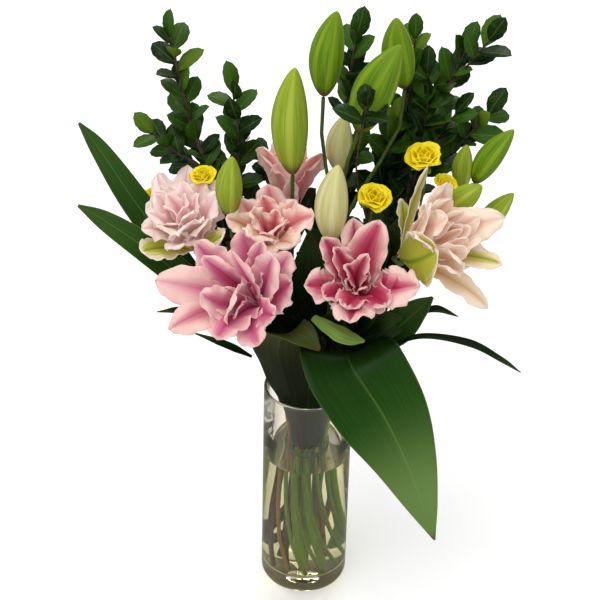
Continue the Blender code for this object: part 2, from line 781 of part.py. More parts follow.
# ---------------------------------------------------------------- the whole object

clear_scene()
BOUQUET = new_collection("lilies_in_a_vase")
WET = new_collection("room_for_stems_in_water")
MATERIALS = make_materials()

vase()
tie()
lilies(WET)
roses(WET)
broad_leaves(WET)
lily_leaves()
foliage(WET)
water(WET)
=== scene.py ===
"""A bunch of double lilies, spray roses, strap leaves and woody foliage in a clear glass cylinder.

The sections follow the bunch as it is put together: vase, water, stems, tie, leaves, foliage, lilies, roses.
"""

import math

import bmesh
import bpy
import numpy as np
from mathutils import Matrix, Vector


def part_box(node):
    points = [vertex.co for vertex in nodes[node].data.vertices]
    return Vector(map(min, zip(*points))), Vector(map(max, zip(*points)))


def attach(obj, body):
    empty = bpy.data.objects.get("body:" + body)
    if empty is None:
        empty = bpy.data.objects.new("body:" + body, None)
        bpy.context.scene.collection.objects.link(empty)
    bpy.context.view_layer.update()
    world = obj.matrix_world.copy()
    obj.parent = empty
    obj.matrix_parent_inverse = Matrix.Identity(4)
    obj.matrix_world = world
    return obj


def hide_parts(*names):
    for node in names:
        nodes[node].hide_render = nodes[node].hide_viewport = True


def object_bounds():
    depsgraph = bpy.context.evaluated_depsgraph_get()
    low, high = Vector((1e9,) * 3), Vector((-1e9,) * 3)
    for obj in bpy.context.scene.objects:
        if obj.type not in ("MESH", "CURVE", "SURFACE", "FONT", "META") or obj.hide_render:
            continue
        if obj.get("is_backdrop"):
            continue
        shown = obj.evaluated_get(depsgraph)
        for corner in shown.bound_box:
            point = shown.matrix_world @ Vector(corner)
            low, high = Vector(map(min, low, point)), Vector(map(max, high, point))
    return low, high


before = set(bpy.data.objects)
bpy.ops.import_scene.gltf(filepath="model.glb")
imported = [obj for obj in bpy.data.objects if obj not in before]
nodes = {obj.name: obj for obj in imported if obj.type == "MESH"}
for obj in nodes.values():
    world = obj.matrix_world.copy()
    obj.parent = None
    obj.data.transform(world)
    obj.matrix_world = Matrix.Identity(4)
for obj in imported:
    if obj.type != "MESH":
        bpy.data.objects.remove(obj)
cad_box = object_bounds()
MM = 0.001

# ------------------------------------------------------------------ the glass vase
# A drawn glass cylinder with a thick, clear foot. The lip is fire-polished round and the well
# inside has a shallow dome for a floor, which bends the light into rings.

_, vase_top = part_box("glass_vase")
VASE_RADIUS = vase_top.x
VASE_HEIGHT = vase_top.z
GLASS_WALL = 3.5 * MM
GLASS_FLOOR = 22 * MM
FOOT_ROUNDING = 14 * MM
WELL_ROUNDING = 10 * MM
INNER_RADIUS = VASE_RADIUS - GLASS_WALL
TURNED_STEPS = 160


def arc(centre_r, centre_z, radius, start, end, steps):
    """Points of an arc in a turned profile, with its angles in degrees from the +R axis."""
    angles = np.radians(np.linspace(start, end, steps + 1))
    return [(centre_r + radius * math.cos(a), centre_z + radius * math.sin(a)) for a in angles]


def linked(name, data):
    made = bpy.data.objects.new(name, data)
    bpy.context.scene.collection.objects.link(made)
    return made


def flattened(made):
    """The same object with its modifiers or its curve turned into a plain, smooth mesh."""
    bpy.context.view_layer.update()
    graph = bpy.context.evaluated_depsgraph_get()
    mesh = bpy.data.meshes.new_from_object(made.evaluated_get(graph))
    name = made.name
    bpy.data.objects.remove(made)
    mesh.name = name
    mesh.shade_smooth()
    return linked(name, mesh)


def turned(name, profile):
    """A solid of revolution. Its profile starts and ends on the axis and runs down its outer side."""
    mesh = bpy.data.meshes.new(name)
    edges = [(i, i + 1) for i in range(len(profile) - 1)]
    mesh.from_pydata([(r, 0, z) for r, z in profile], edges, [])
    outline = linked(name, mesh)
    screw = outline.modifiers.new("turn", "SCREW")
    screw.steps = screw.render_steps = TURNED_STEPS
    screw.use_merge_vertices = True
    screw.merge_threshold = 0.05 * MM
    made = flattened(outline)
    made.data.set_sharp_from_angle(angle=math.radians(40))
    return made


def finish(piece, slot, *stands_for):
    """Puts a finished piece on the object's one body and hides the CAD nodes it stands for."""
    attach(piece, "root")
    if stands_for:
        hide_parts(*stands_for)


def colour(code):
    """A colour from its six hex digits, as the linear values that a shader takes."""
    parts = [int(code[i : i + 2], 16) / 255 for i in (0, 2, 4)]
    linear = [p / 12.92 if p <= 0.04045 else ((p + 0.055) / 1.055) ** 2.4 for p in parts]
    return (*linear, 1.0)


class Shading:
    """A node tree, with one short call for each node and its links."""

    def __init__(self, tree):
        self.tree = tree

    def feed(self, made, key, value):
        """Links an input of a node to a socket, or sets it to a plain value."""
        if isinstance(value, bpy.types.NodeSocket):
            self.tree.links.new(value, made.inputs[key])
        else:
            made.inputs[key].default_value = value

    def node(self, kind, inputs, **settings):
        made = self.tree.nodes.new(kind)
        for key, value in settings.items():
            setattr(made, key, value)
        for key, value in inputs.items():
            self.feed(made, key, value)
        return made

    def maths(self, operation, a, b=0.0, clamp=False):
        return self.node("ShaderNodeMath", {0: a, 1: b}, operation=operation, use_clamp=clamp).outputs[0]

    def plus(self, a, b):
        return self.maths("ADD", a, b)

    def times(self, a, b):
        return self.maths("MULTIPLY", a, b)

    def ramp(self, value, low, high, start=0.0, end=1.0):
        """value read from low to high as start to end, with soft ends."""
        given = dict(enumerate((value, low, high, start, end)))
        return self.node("ShaderNodeMapRange", given, interpolation_type="SMOOTHSTEP").outputs[0]

    def coats(self, body, *coats):
        """body under coats of colour, each given as how strongly it covers and what it is."""
        for factor, coat in coats:
            given = {0: factor, 6: body, 7: colour(coat) if isinstance(coat, str) else coat}
            made = self.node("ShaderNodeMix", given, data_type="RGBA", blend_type="MIX", clamp_factor=True)
            body = made.outputs[2]
        return body

    def noise(self, vector, scale, detail=3.0, distortion=0.0):
        given = {"Vector": vector, "Scale": scale, "Detail": detail, "Distortion": distortion}
        return self.node("ShaderNodeTexNoise", given).outputs["Fac"]

    def grain(self, vector, scales, detail=3.0, distortion=0.0):
        """Noise that has its own scale along each axis."""
        made = self.node("ShaderNodeMapping", {"Vector": vector, "Scale": scales})
        return self.noise(made.outputs[0], 1.0, detail, distortion)

    def place(self, kind="Object"):
        return self.node("ShaderNodeTexCoord", {}).outputs[kind]

    def parts(self, kind="Object"):
        """The three numbers of a place. In UV, the first runs across a sheet and the second along it."""
        return self.node("ShaderNodeSeparateXYZ", {0: self.place(kind)}).outputs

    def off_middle(self, u):
        return self.maths("ABSOLUTE", self.maths("SUBTRACT", u, 0.5))

    def own(self, name):
        return self.node("ShaderNodeAttribute", {}, attribute_name=name).outputs["Fac"]


def new_material(name, **finish_values):
    """A material with its Principled shader, whose plain values are set by input name."""
    made = bpy.data.materials.new(name)
    made.use_nodes = True
    shader = made.node_tree.nodes["Principled BSDF"]
    for key, value in finish_values.items():
        shader.inputs[key.replace("_", " ")].default_value = value
    return made, Shading(made.node_tree), shader


def surface(paint, shader, body, height, strength, depth):
    """Gives a shader its colour, and a bump that is depth deep."""
    paint.feed(shader, "Base Color", body)
    made = paint.node("ShaderNodeBump", {"Height": height, "Strength": strength, "Distance": depth})
    paint.feed(shader, "Normal", made.outputs[0])


def wear(piece, *materials):
    for material in materials:
        piece.data.materials.append(material)


def let_light_through(material, paint, shader, tint):
    """Clear bodies cast a faint shadow, where real glass would gather the light."""
    open_air = paint.node("ShaderNodeBsdfTransparent", {"Color": tint}).outputs[0]
    in_shadow = paint.node("ShaderNodeLightPath", {}).outputs["Is Shadow Ray"]
    chosen = paint.node("ShaderNodeMixShader", {0: in_shadow, 1: shader.outputs[0], 2: open_air})
    paint.feed(material.node_tree.nodes["Material Output"], "Surface", chosen.outputs[0])


well_top = GLASS_FLOOR + WELL_ROUNDING
lip = GLASS_WALL / 2
dome = [(0.0, 1.6), (9.0, 1.3), (20.0, 0.5)]
hollow = [(12.0, 0.0), (10.0, 0.7), (6.0, 2.0), (3.0, 2.5), (0.0, 2.6)]
vase_profile = [(r * MM, GLASS_FLOOR + z * MM) for r, z in dome]
vase_profile += arc(INNER_RADIUS - WELL_ROUNDING, well_top, WELL_ROUNDING, -90, 0, 10)
vase_profile += arc(INNER_RADIUS + lip, VASE_HEIGHT - lip, lip, 180, 0, 10)
vase_profile += arc(VASE_RADIUS - FOOT_ROUNDING, FOOT_ROUNDING, FOOT_ROUNDING, 0, -90, 12)
vase_profile += [(r * MM, z * MM) for r, z in hollow]
vase = turned("glass_cylinder", vase_profile)

material, paint, shader = new_material(
    "clear_glass", Roughness=0.0, IOR=1.42, Transmission_Weight=1.0, Specular_IOR_Level=0.04
)
haze = paint.noise(paint.place(), 14.0, 4.0)
height = paint.parts()["Z"]
paint.feed(shader, "Base Color", colour("FBF6EA"))
paint.feed(shader, "Roughness", paint.ramp(haze, 0.45, 0.8, 0.0, 0.05))
paint.feed(shader, "Coat Weight", paint.ramp(height, VASE_HEIGHT - 4 * MM, VASE_HEIGHT - 2 * MM))
let_light_through(material, paint, shader, colour("F3F1EA"))
wear(vase, material)
finish(vase, "clear_glass", "glass_vase")


# ------------------------------------------------------------------ the water
# Clear tap water, two thirds of the way up the vase, with a meniscus that climbs the glass.
# It is a hair wider than the well, so that no air shows between water and glass.

_, water_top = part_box("water")
WATER_LEVEL = water_top.z
MENISCUS = 2.2 * MM
water_side = INNER_RADIUS + 0.1 * MM
water_profile = [
    (0.0, WATER_LEVEL),
    (water_side - 2 * MENISCUS, WATER_LEVEL),
    (water_side - MENISCUS, WATER_LEVEL + 0.3 * MM),
    (water_side - 0.4 * MM, WATER_LEVEL + MENISCUS * 0.7),
    (water_side, WATER_LEVEL + MENISCUS),
]
water_profile += arc(water_side - WELL_ROUNDING, well_top - 0.1 * MM, WELL_ROUNDING, 0, -90, 10)
water_profile += [(r * MM, GLASS_FLOOR + (z - 0.1) * MM) for r, z in reversed(dome)]
water = turned("vase_water", water_profile)

material, paint, shader = new_material(
    "still_water", Roughness=0.0, IOR=1.33, Transmission_Weight=1.0, Specular_IOR_Level=0.02
)
paint.feed(shader, "Base Color", colour("E2E7C8"))
let_light_through(material, paint, shader, colour("F4F3EA"))
wear(water, material)
finish(water, "water", "water")


# ------------------------------------------------------------------ lily and rose stems
# Cut green stems that stand in the water and turn round each other under the tie.
# Each is one skin over its stem and pedicels, so that a fork swells as a grown one does.


def grown_skin(name, node, voxel, rounds):
    """One smooth skin over a CAD stem."""
    shape = bmesh.new()
    shape.from_mesh(nodes[node].data)
    bmesh.ops.remove_doubles(shape, verts=shape.verts, dist=0.01 * MM)
    mesh = bpy.data.meshes.new(name)
    shape.to_mesh(mesh)
    shape.free()
    made = linked(name, mesh)
    skin = made.modifiers.new("skin", "REMESH")
    skin.mode = "VOXEL"
    skin.voxel_size = voxel
    smooth = made.modifiers.new("smooth", "SMOOTH")
    smooth.factor = 0.5
    smooth.iterations = rounds
    return flattened(made)


def stem_material(name, low, high, streak):
    """Stem skin: paler where it has stood in water, with fine lines along it."""
    material, paint, shader = new_material(name, Roughness=0.45, Specular_IOR_Level=0.25)
    height = paint.ramp(paint.parts()["Z"], WATER_LEVEL - 0.01, VASE_HEIGHT + 0.05)
    fine = paint.grain(paint.place(), (900, 900, 22))
    broad = paint.noise(paint.place(), 45.0, 2.0)
    lines = (paint.ramp(fine, 0.4, 0.65, 0.0, 0.45), streak)
    clouds = (paint.ramp(broad, 0.5, 0.75, 0.0, 0.35), streak)
    surface(paint, shader, paint.coats(colour(low), (height, high), lines, clouds), fine, 0.35, 0.4 * MM)
    return material


lily_skin = stem_material("lily_stem_skin", "7FA82A", "3E4E1A", "667E28")
rose_skin = stem_material("rose_stem_skin", "9C6E38", "54682A", "6E4A26")
for flower, sides, voxel, rounds, skin in (
    ("lily", ("left", "middle", "front", "back", "right"), 0.8 * MM, 10, lily_skin),
    ("rose", ("left", "middle", "right"), 0.6 * MM, 8, rose_skin),
):
    for side in sides:
        piece = grown_skin(f"{flower}_stalk_{side}", f"{flower}_stem_{side}", voxel, rounds)
        wear(piece, skin)
        finish(piece, "lily_stem", f"{flower}_stem_{side}")


# ------------------------------------------------------------------ the tie
# Dark green twine, wound round the bunch just above the water and hidden by the glass's shine.
# Its turns lie in one row, over the plain band of the CAD.

tie_low, tie_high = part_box("stem_tie")
TURNS = 7
TURN_STEPS = 48
TWINE = 0.62 * MM


def tube(name, path, radii, sides):
    """A round bar along path, whose radii are spread evenly along it."""
    curve = bpy.data.curves.new(name, "CURVE")
    curve.dimensions = "3D"
    curve.bevel_depth = 1.0
    curve.bevel_resolution = sides // 2 - 2
    curve.use_fill_caps = True
    line = curve.splines.new("POLY")
    line.points.add(len(path) - 1)
    sizes = np.interp(np.linspace(0, 1, len(path)), np.linspace(0, 1, len(radii)), radii)
    for point, at, size in zip(line.points, path, sizes):
        point.co = (*at, 1.0)
        point.radius = size
    made = flattened(linked(name, curve))
    shape = bmesh.new()
    shape.from_mesh(made.data)
    bmesh.ops.remove_doubles(shape, verts=shape.verts, dist=0.002 * MM)
    bmesh.ops.recalc_face_normals(shape, faces=shape.faces)
    shape.to_mesh(made.data)
    shape.free()
    return made


winding = []
for i in range(TURNS * TURN_STEPS + 1):
    angle = 2 * math.pi * i / TURN_STEPS
    drop = i / (TURNS * TURN_STEPS) * (tie_high.z - tie_low.z - 2 * TWINE)
    reach = tie_high.x - TWINE + 0.1 * MM * math.sin(angle * 3.7)
    winding.append((reach * math.cos(angle), reach * math.sin(angle), tie_high.z - TWINE - drop))
twine = tube("tie_twine", winding, [TWINE, TWINE], 8)
material, paint, shader = new_material("green_twine", Roughness=0.8)
strand = paint.grain(paint.place(), (700, 700, 1500), 2.0)
surface(paint, shader, paint.coats(colour("1E3A1C"), (strand, "3F5F35")), strand, 0.6, 0.4 * MM)
wear(twine, material)
finish(twine, "green_tie", "stem_tie")


# ------------------------------------------------------------------ broad strap leaves
# Glossy aspidistra-like blades with a sunk midrib and many fine veins that run from stalk to tip.
# Each is one thin sheet that narrows to its stalk, which goes down through the tie to the floor.

STEM_PITCH = 10.2 * MM
TIE_LEVEL = (tie_low.z + tie_high.z) / 2
STEM_END = GLASS_FLOOR + 3 * MM
STEM_TURN = math.radians(65)
SPLAY = (INNER_RADIUS - WELL_ROUNDING / 3 - 6.2 * MM) / (2 * STEM_PITCH)


def bundle(ring, azimuth):
    """A stem's places from the vase floor up to the tie, in one ring of the bunch at one azimuth."""
    angle = math.radians(azimuth)
    flat = Vector((math.cos(angle), math.sin(angle), 0)) * ring * STEM_PITCH
    made = []
    for t in np.linspace(1, 0, 25).tolist():
        turn = Matrix.Rotation(STEM_TURN * t * t, 3, "Z")
        height = TIE_LEVEL + (STEM_END - TIE_LEVEL) * t
        made.append(turn @ flat * (1 + (SPLAY - 1) * t * t) + Vector((0, 0, height)))
    return made


def from_rim(x, y, z):
    """A place given in millimetres from the centre of the rim."""
    return Vector((x * MM, y * MM, VASE_HEIGHT + z * MM))


def smooth_line(points, steps):
    """A smooth line through a list of places, as an array with steps places to each stretch."""
    known = np.array([tuple(p) for p in points], float)
    ends = np.vstack([2 * known[0] - known[1], known, 2 * known[-1] - known[-2]])
    t = np.linspace(0, 1, steps, endpoint=False)[:, None]
    made = []
    for i in range(len(known) - 1):
        a, b, c, d = ends[i : i + 4]
        bent = (2 * a - 5 * b + 4 * c - d) * t**2 + (3 * b - a - 3 * c + d) * t**3
        made.append((2 * b + (c - a) * t + bent) / 2)
    return np.vstack([*made, known[-1:]])


def unit(rows):
    return rows / np.maximum(np.linalg.norm(rows, axis=-1, keepdims=True), 1e-9)


def give(mesh, tag, values, kind="FLOAT", field="value"):
    """Stores a value of a mesh's own at each of its points."""
    values = np.array(values, np.float32).reshape(-1)
    mesh.attributes.new(tag, kind, "POINT").data.foreach_set(field, values)


def sheet(name, places, thickness, tags=None):
    """One or more thin solid sheets as one piece. places is a list of arrays of rows x columns x 3.
    u runs across a sheet and v along it. Each sheet has its own tint and share of bract in tags.
    Faces of the second material slot are its underside and edge."""
    verts, faces, uvs, values = [], [], [], []
    first = 0
    for grid, tag in zip(places, tags or [(0.5, 0.0)] * len(places)):
        rows, columns = grid.shape[:2]
        verts.append(grid.reshape(-1, 3))
        index = first + np.arange(rows * columns).reshape(rows, columns)
        quads = np.stack([index[:-1, :-1], index[:-1, 1:], index[1:, 1:], index[1:, :-1]], axis=-1)
        faces.append(quads.reshape(-1, 4))
        v, u = np.meshgrid(np.linspace(0, 1, rows), np.linspace(0, 1, columns), indexing="ij")
        uvs.append(np.stack([u, v], axis=-1).reshape(-1, 2))
        values.append(np.tile(tag, (rows * columns, 1)))
        first += rows * columns
    verts, faces, uvs, values = (np.vstack(part) for part in (verts, faces, uvs, values))
    mesh = bpy.data.meshes.new(name)
    mesh.from_pydata(verts.tolist(), [], faces.tolist())
    layer = mesh.uv_layers.new(name="UVMap")
    layer.data.foreach_set("uv", uvs[faces.reshape(-1)].reshape(-1))
    give(mesh, "tint", values[:, 0])
    give(mesh, "bract", values[:, 1])
    made = linked(name, mesh)
    solid = made.modifiers.new("thickness", "SOLIDIFY")
    solid.thickness = thickness
    solid.offset = 0.0
    solid.use_even_offset = False
    solid.material_offset = solid.material_offset_rim = 1
    return flattened(made)


def blade(spine, rows=72, columns=17, fold=0.14, wave=0.0, waves=5.0):
    """The places of a leaf along spine, a list of (place, width, the way its face looks).
    fold lifts both halves from the midrib, and wave ripples the edges."""
    steps = 24
    line = smooth_line([at for at, _, _ in spine], steps)
    knots = np.linspace(0, 1, len(spine))
    along_line = np.linspace(0, 1, len(line))
    v = np.linspace(0, 1, rows)
    at = np.stack([np.interp(v, along_line, line[:, i]) for i in range(3)], axis=1)
    widths = smooth_line([(w, 0, 0) for _, w, _ in spine], steps)[:, 0]
    half = np.maximum(np.interp(v, along_line, widths), 0.0006) / 2
    looks = unit(np.array([tuple(look) for _, _, look in spine], float))
    face = unit(np.stack([np.interp(v, knots, looks[:, i]) for i in range(3)], axis=1))
    along = unit(np.gradient(at, axis=0))
    side = unit(np.cross(along, face))
    face = np.cross(side, along)
    across = np.linspace(-1, 1, columns)
    lift = np.abs(across) ** 1.3 * fold * 2
    made = at[:, None] + side[:, None] * (across[None, :, None] * half[:, None, None])
    made = made + face[:, None] * (lift[None, :, None] * half[:, None, None])
    ripple = np.sin(2 * np.pi * waves * v[:, None] + 1.6 * np.sign(across)) * np.abs(across) ** 3
    ripple = ripple * np.sin(np.pi * v)[:, None]
    return made + face[:, None] * (ripple * wave)[:, :, None]


def leaf_material(name, dark, light, edge, brown, gloss, veins=46.0, painted_shade=0.8, painted_sheen=0.1):
    """A leaf's face: fine veins from stalk to tip, a pale midrib, a pale line along the edge that is a
    painted highlight, and a dry brown tip. Painted shade darkens it by painted_shade near the stalk, and a
    painted sheen lightens it by painted_sheen towards the tip."""
    material, paint, shader = new_material(name, Roughness=gloss, Specular_IOR_Level=0.08)
    u, v = paint.parts("UV")[:2]
    strip = paint.grain(paint.place("UV"), (veins, 1.6, 1.0), 2.0)
    fine = paint.grain(paint.place("UV"), (veins * 3.4, 3.0, 1.0), 2.0)
    cloud = paint.noise(paint.place(), 26.0, 3.0)
    middle = paint.off_middle(u)
    dry = paint.ramp(paint.plus(v, paint.times(cloud, 0.10)), 1.0, 1.06)
    rim = paint.times(paint.ramp(middle, 0.475, 0.5), paint.ramp(cloud, 0.54, 0.66))
    body = paint.coats(
        colour(dark),
        (paint.ramp(strip, 0.32, 0.7), light),
        (paint.ramp(cloud, 0.4, 0.75, 0.0, 0.5), dark),
        (paint.ramp(fine, 0.5, 0.7, 0.0, 0.25), light),
        (paint.ramp(middle, 0.022, 0.0, 0.0, 0.3), edge),
        # painted highlight: a pale line along the thin edge, where light catches it
        (paint.ramp(middle, 0.485, 0.5, 0.0, 0.5), edge),
        # painted shade: near black towards the stalk, in the shade of the bunch
        (paint.ramp(v, 0.66, 0.36, 0.0, painted_shade), "030D01"),
        # painted sheen: paler green towards the tip
        (paint.ramp(v, 0.60, 0.86, 0.0, painted_sheen), "7C9A54"),
        (paint.maths("MAXIMUM", dry, rim), brown),
    )
    height = paint.plus(strip, paint.times(fine, 0.4))
    surface(paint, shader, body, height, 0.12, 0.4 * MM)
    return material


strap_face = leaf_material("strap_leaf_face", "1C3E0D", "284F15", "8C9C5A", "5E4A20", 0.36)
# the hanging leaf's face is the strap leaf face again, with a strong painted sheen towards its tip
hanging_face = leaf_material("hanging_leaf_face", "1C400C", "254C12", "6E8A48", "5E4A20", 0.36, painted_sheen=0.6)
strap_back = leaf_material("strap_leaf_back", "23420F", "36571B", "7D9150", "5E4A20", 0.48)
olive_face = leaf_material("olive_leaf_face", "232C0C", "3E4214", "62662E", "54401A", 0.5)
olive_back = leaf_material("olive_leaf_back", "1A2208", "2C300C", "545826", "54401A", 0.6)
stalk_skin = stem_material("leaf_stalk_skin", "6E8A2C", "34501A", "4A6420")

# Ring and azimuth in the bunch, edge ripple in mm, then (x, y, z, width, the way the face looks)
# from above the tie to the tip, in mm.
STRAP_LEAVES = {
    "upper_left": (2, 210, 1.2, (
        (-30, -20, 10, 22, (0.7, 0.2, 0.5)),
        (-72, -20, 86, 16, (0.4, -0.3, 0.8)),
        (-130, 2, 136, 27, (0.1, -0.7, 0.6)),
        (-188, 26, 208, 32, (0.1, -0.8, 0.6)),
        (-228, 34, 271, 20, (0.1, -0.8, 0.5)),
        (-249, 36, 301, 3, (0.1, -0.8, 0.5)),
    )),
    "lower_left": (2, 240, 1.2, (
        (-22, -28, 10, 24, (0.4, 0.6, 0.5)),
        (-60, -34, 76, 18, (0.2, -0.1, 0.9)),
        (-112, -28, 128, 28, (0.1, -0.6, 0.8)),
        (-170, -24, 180, 31, (0.1, -0.8, 0.6)),
        (-218, -22, 216, 21, (0.2, -0.8, 0.5)),
        (-246, -22, 234, 3, (0.2, -0.8, 0.5)),
    )),
    "hanging": (2, 300, 2.0, (
        (18, -33, -10, 36, (-0.4, 0.9, 0.1)),
        (28, -56, 52, 56, (-0.3, 0.8, 0.4)),
        (36, -92, 104, 92, (-0.1, 0.3, 0.95)),
        (46, -126, 104, 102, (0.0, -0.6, 0.8)),
        (76, -146, 66, 94, (0.1, -0.9, 0.4)),
        (103, -157, 14, 64, (0.15, -0.97, 0.2)),
        (122, -160, -38, 34, (0.2, -0.97, 0.1)),
        (139, -160, -88, 2, (0.2, -0.97, 0.1)),
    )),
    "folded": (2, 270, 1.6, (
        (-14, -34, -12, 36, (0.3, 0.9, 0.1)),
        (-25, -47, 34, 54, (0.3, 0.9, 0.2)),
        (-34, -66, 84, 62, (0.2, 0.85, 0.4)),
        (-28, -88, 122, 54, (0.0, 0.4, 0.9)),
        (-8, -104, 132, 32, (-0.1, -0.3, 0.95)),
        (10, -112, 120, 3, (-0.1, -0.6, 0.8)),
    )),
    "right": (2, 330, 1.0, (
        (34, -16, 8, 22, (-0.6, 0.3, 0.5)),
        (66, -24, 58, 30, (-0.3, -0.1, 0.9)),
        (94, -24, 92, 42, (0.0, -0.5, 0.85)),
        (116, -16, 112, 26, (-0.1, -0.6, 0.8)),
        (132, -8, 124, 3, (-0.1, -0.6, 0.8)),
    )),
}


def joined(name, pieces):
    """Several meshes as one piece. Each keeps its own materials."""
    bpy.ops.object.select_all(action="DESELECT")
    for piece in pieces:
        piece.select_set(True)
    bpy.context.view_layer.objects.active = pieces[0]
    bpy.ops.object.join()
    pieces[0].select_set(False)
    pieces[0].name = name
    return pieces[0]


for side, (ring, azimuth, wave, places) in STRAP_LEAVES.items():
    stalk_line = bundle(ring, azimuth)
    outward = Vector((stalk_line[-1].x, stalk_line[-1].y, 0))
    spine = [(stalk_line[-1] + Vector((0, 0, 3 * MM)), 15 * MM, -outward)]
    spine += [(from_rim(x, y, z), width * MM, look) for x, y, z, width, look in places]
    leaf = sheet("strap_" + side, [blade(spine, wave=wave * MM)], 0.7 * MM)
    wear(leaf, {"folded": olive_face, "hanging": hanging_face}.get(side, strap_face))
    wear(leaf, olive_back if side == "folded" else strap_back)
    stalk_line.append(spine[0][0] + Vector((0, 0, 3 * MM)))
    stalk = tube("stalk_" + side, stalk_line, [2.2 * MM] * 8 + [1.9 * MM, 0.9 * MM], 12)
    wear(stalk, stalk_skin)
    leaf = joined("strap_leaf_" + side, [leaf, stalk])
    finish(leaf, "glossy_leaf", "broad_leaf_" + side)


# ------------------------------------------------------------------ narrow lily leaves
# Soft, narrow leaves that lilies carry up their stems, with fewer veins than the strap leaves. All but one
# are painted near black as painted shade. Those deep in the bunch are fans of blades from one foot: dark
# sheets set there to fill its heart with painted shade.

# Edge ripple in mm, then (x, y, z, width, the way the face looks) from stem to tip, in mm.
NARROW_LEAVES = {
    "long": (0.4, (
        (80, -52, 84, 3, (0, -0.4, 0.9)),
        (118, -56, 104, 7, (0, -0.4, 0.9)),
        (170, -50, 93, 9, (0.1, -0.5, 0.85)),
        (206, -50, 73, 7, (0.2, -0.5, 0.85)),
        (229, -50, 57, 1, (0.2, -0.5, 0.85)),
    )),
    "right": (0.3, (
        (118, 8, 92, 3, (0, -0.4, 0.9)),
        (138, 6, 100, 9, (0, -0.5, 0.9)),
        (162, 0, 95, 1, (0, -0.5, 0.9)),
    )),
    "lower_left": (0.3, (
        (-62, -58, 74, 3, (0, -0.5, 0.9)),
        (-88, -56, 86, 9, (0, -0.5, 0.9)),
        (-126, -50, 98, 1, (0, -0.5, 0.9)),
    )),
    "far_left": (0.3, (
        (-112, -2, 86, 3, (0, -0.5, 0.9)),
        (-140, -4, 96, 9, (0, -0.5, 0.9)),
        (-168, -6, 95, 1, (0, -0.5, 0.9)),
    )),
    "under_front": (0.8, (
        (2, -98, 152, 8, (-0.2, 0.6, -0.75)),
        (20, -112, 149, 17, (-0.2, 0.5, -0.8)),
        (38, -122, 145, 19, (-0.1, 0.4, -0.9)),
        (55, -128, 143, 3, (0, 0.4, -0.9)),
    )),
}
# Each fan as the way its blades look, then (x, y, z, width) from foot to tip, in mm.
FANS = {
    "left": ((0, -0.95, 0.3), ((2, -14, 64, 5), (0, -12, 112, 40), (-2, -10, 158, 40), (-4, -8, 204, 2))),
    "middle": ((0.2, -0.95, 0.3), ((18, -10, 92, 5), (18, -6, 130, 34), (16, -6, 182, 2))),
    "right": ((0, -0.95, 0.3), ((60, 14, 116, 5), (64, 16, 168, 38), (66, 18, 232, 2))),
    "back": ((0, -0.95, 0.3), ((-56, 36, 150, 5), (-62, 40, 190, 38), (-66, 44, 240, 2))),
    "low": ((0, -0.8, 0.6), ((32, -42, 88, 6), (62, -44, 110, 34), (98, -40, 118, 3))),
}
# How far each further blade leans from the first, in degrees, and its share of the first one's size.
FAN_BLADES = ((20, 0.95), (-22, 0.98), (40, 0.85), (-44, 0.88), (62, 0.7), (-66, 0.7))
FAN_STEP = Vector((0, 3 * MM, 0))
FAN_RIPPLE = 1.2
# painted shade: near-black leaf colours that stand for the shade deep in the bunch, darker still near the
# foot
narrow_face_painted_shade = leaf_material("narrow_leaf_face", "0C1C06", "18300C", "2E4A18", "3A3A18", 0.5, 14.0, 0.4)
fresh_face = leaf_material("fresh_leaf_face", "587A2A", "7A9848", "C4CE8A", "8C8A50", 0.45, 14.0, 0.0)


def narrow_leaf(side, wave, spines, skin):
    leaf = sheet("narrow_leaf_" + side, [blade(one, 48, 9, 0.16, wave * MM, 3.0) for one in spines], 0.5 * MM)
    wear(leaf, skin, skin)
    finish(leaf, "sprig_leaf", "lily_leaf_" + side)


for side, (wave, places) in NARROW_LEAVES.items():
    spine = [(from_rim(x, y, z), width * MM, look) for x, y, z, width, look in places]
    narrow_leaf(side, wave, [spine], fresh_face if side == "under_front" else narrow_face_painted_shade)

for side, (look, places) in FANS.items():
    spine = [(from_rim(x, y, z), width * MM, look) for x, y, z, width in places]
    foot = spine[0][0]
    spines = [spine]
    for angle, size in FAN_BLADES:
        turn = math.radians(angle)
        swing = Matrix.Rotation(turn, 3, "Y") @ Matrix.Rotation(turn / 3, 3, "Z")
        spines.append([(foot + swing @ (at - foot) * size + FAN_STEP, *rest) for at, *rest in spine])
    narrow_leaf("inner_" + side, FAN_RIPPLE, spines, narrow_face_painted_shade)


# ------------------------------------------------------------------ woody foliage
# Dark woody twigs with small, leathery, toothed leaves set round them in a spiral.
# The leaves are one toothed leaf set on points along the twig, and each has its own turn, size, and tone
# mixed with painted shade.

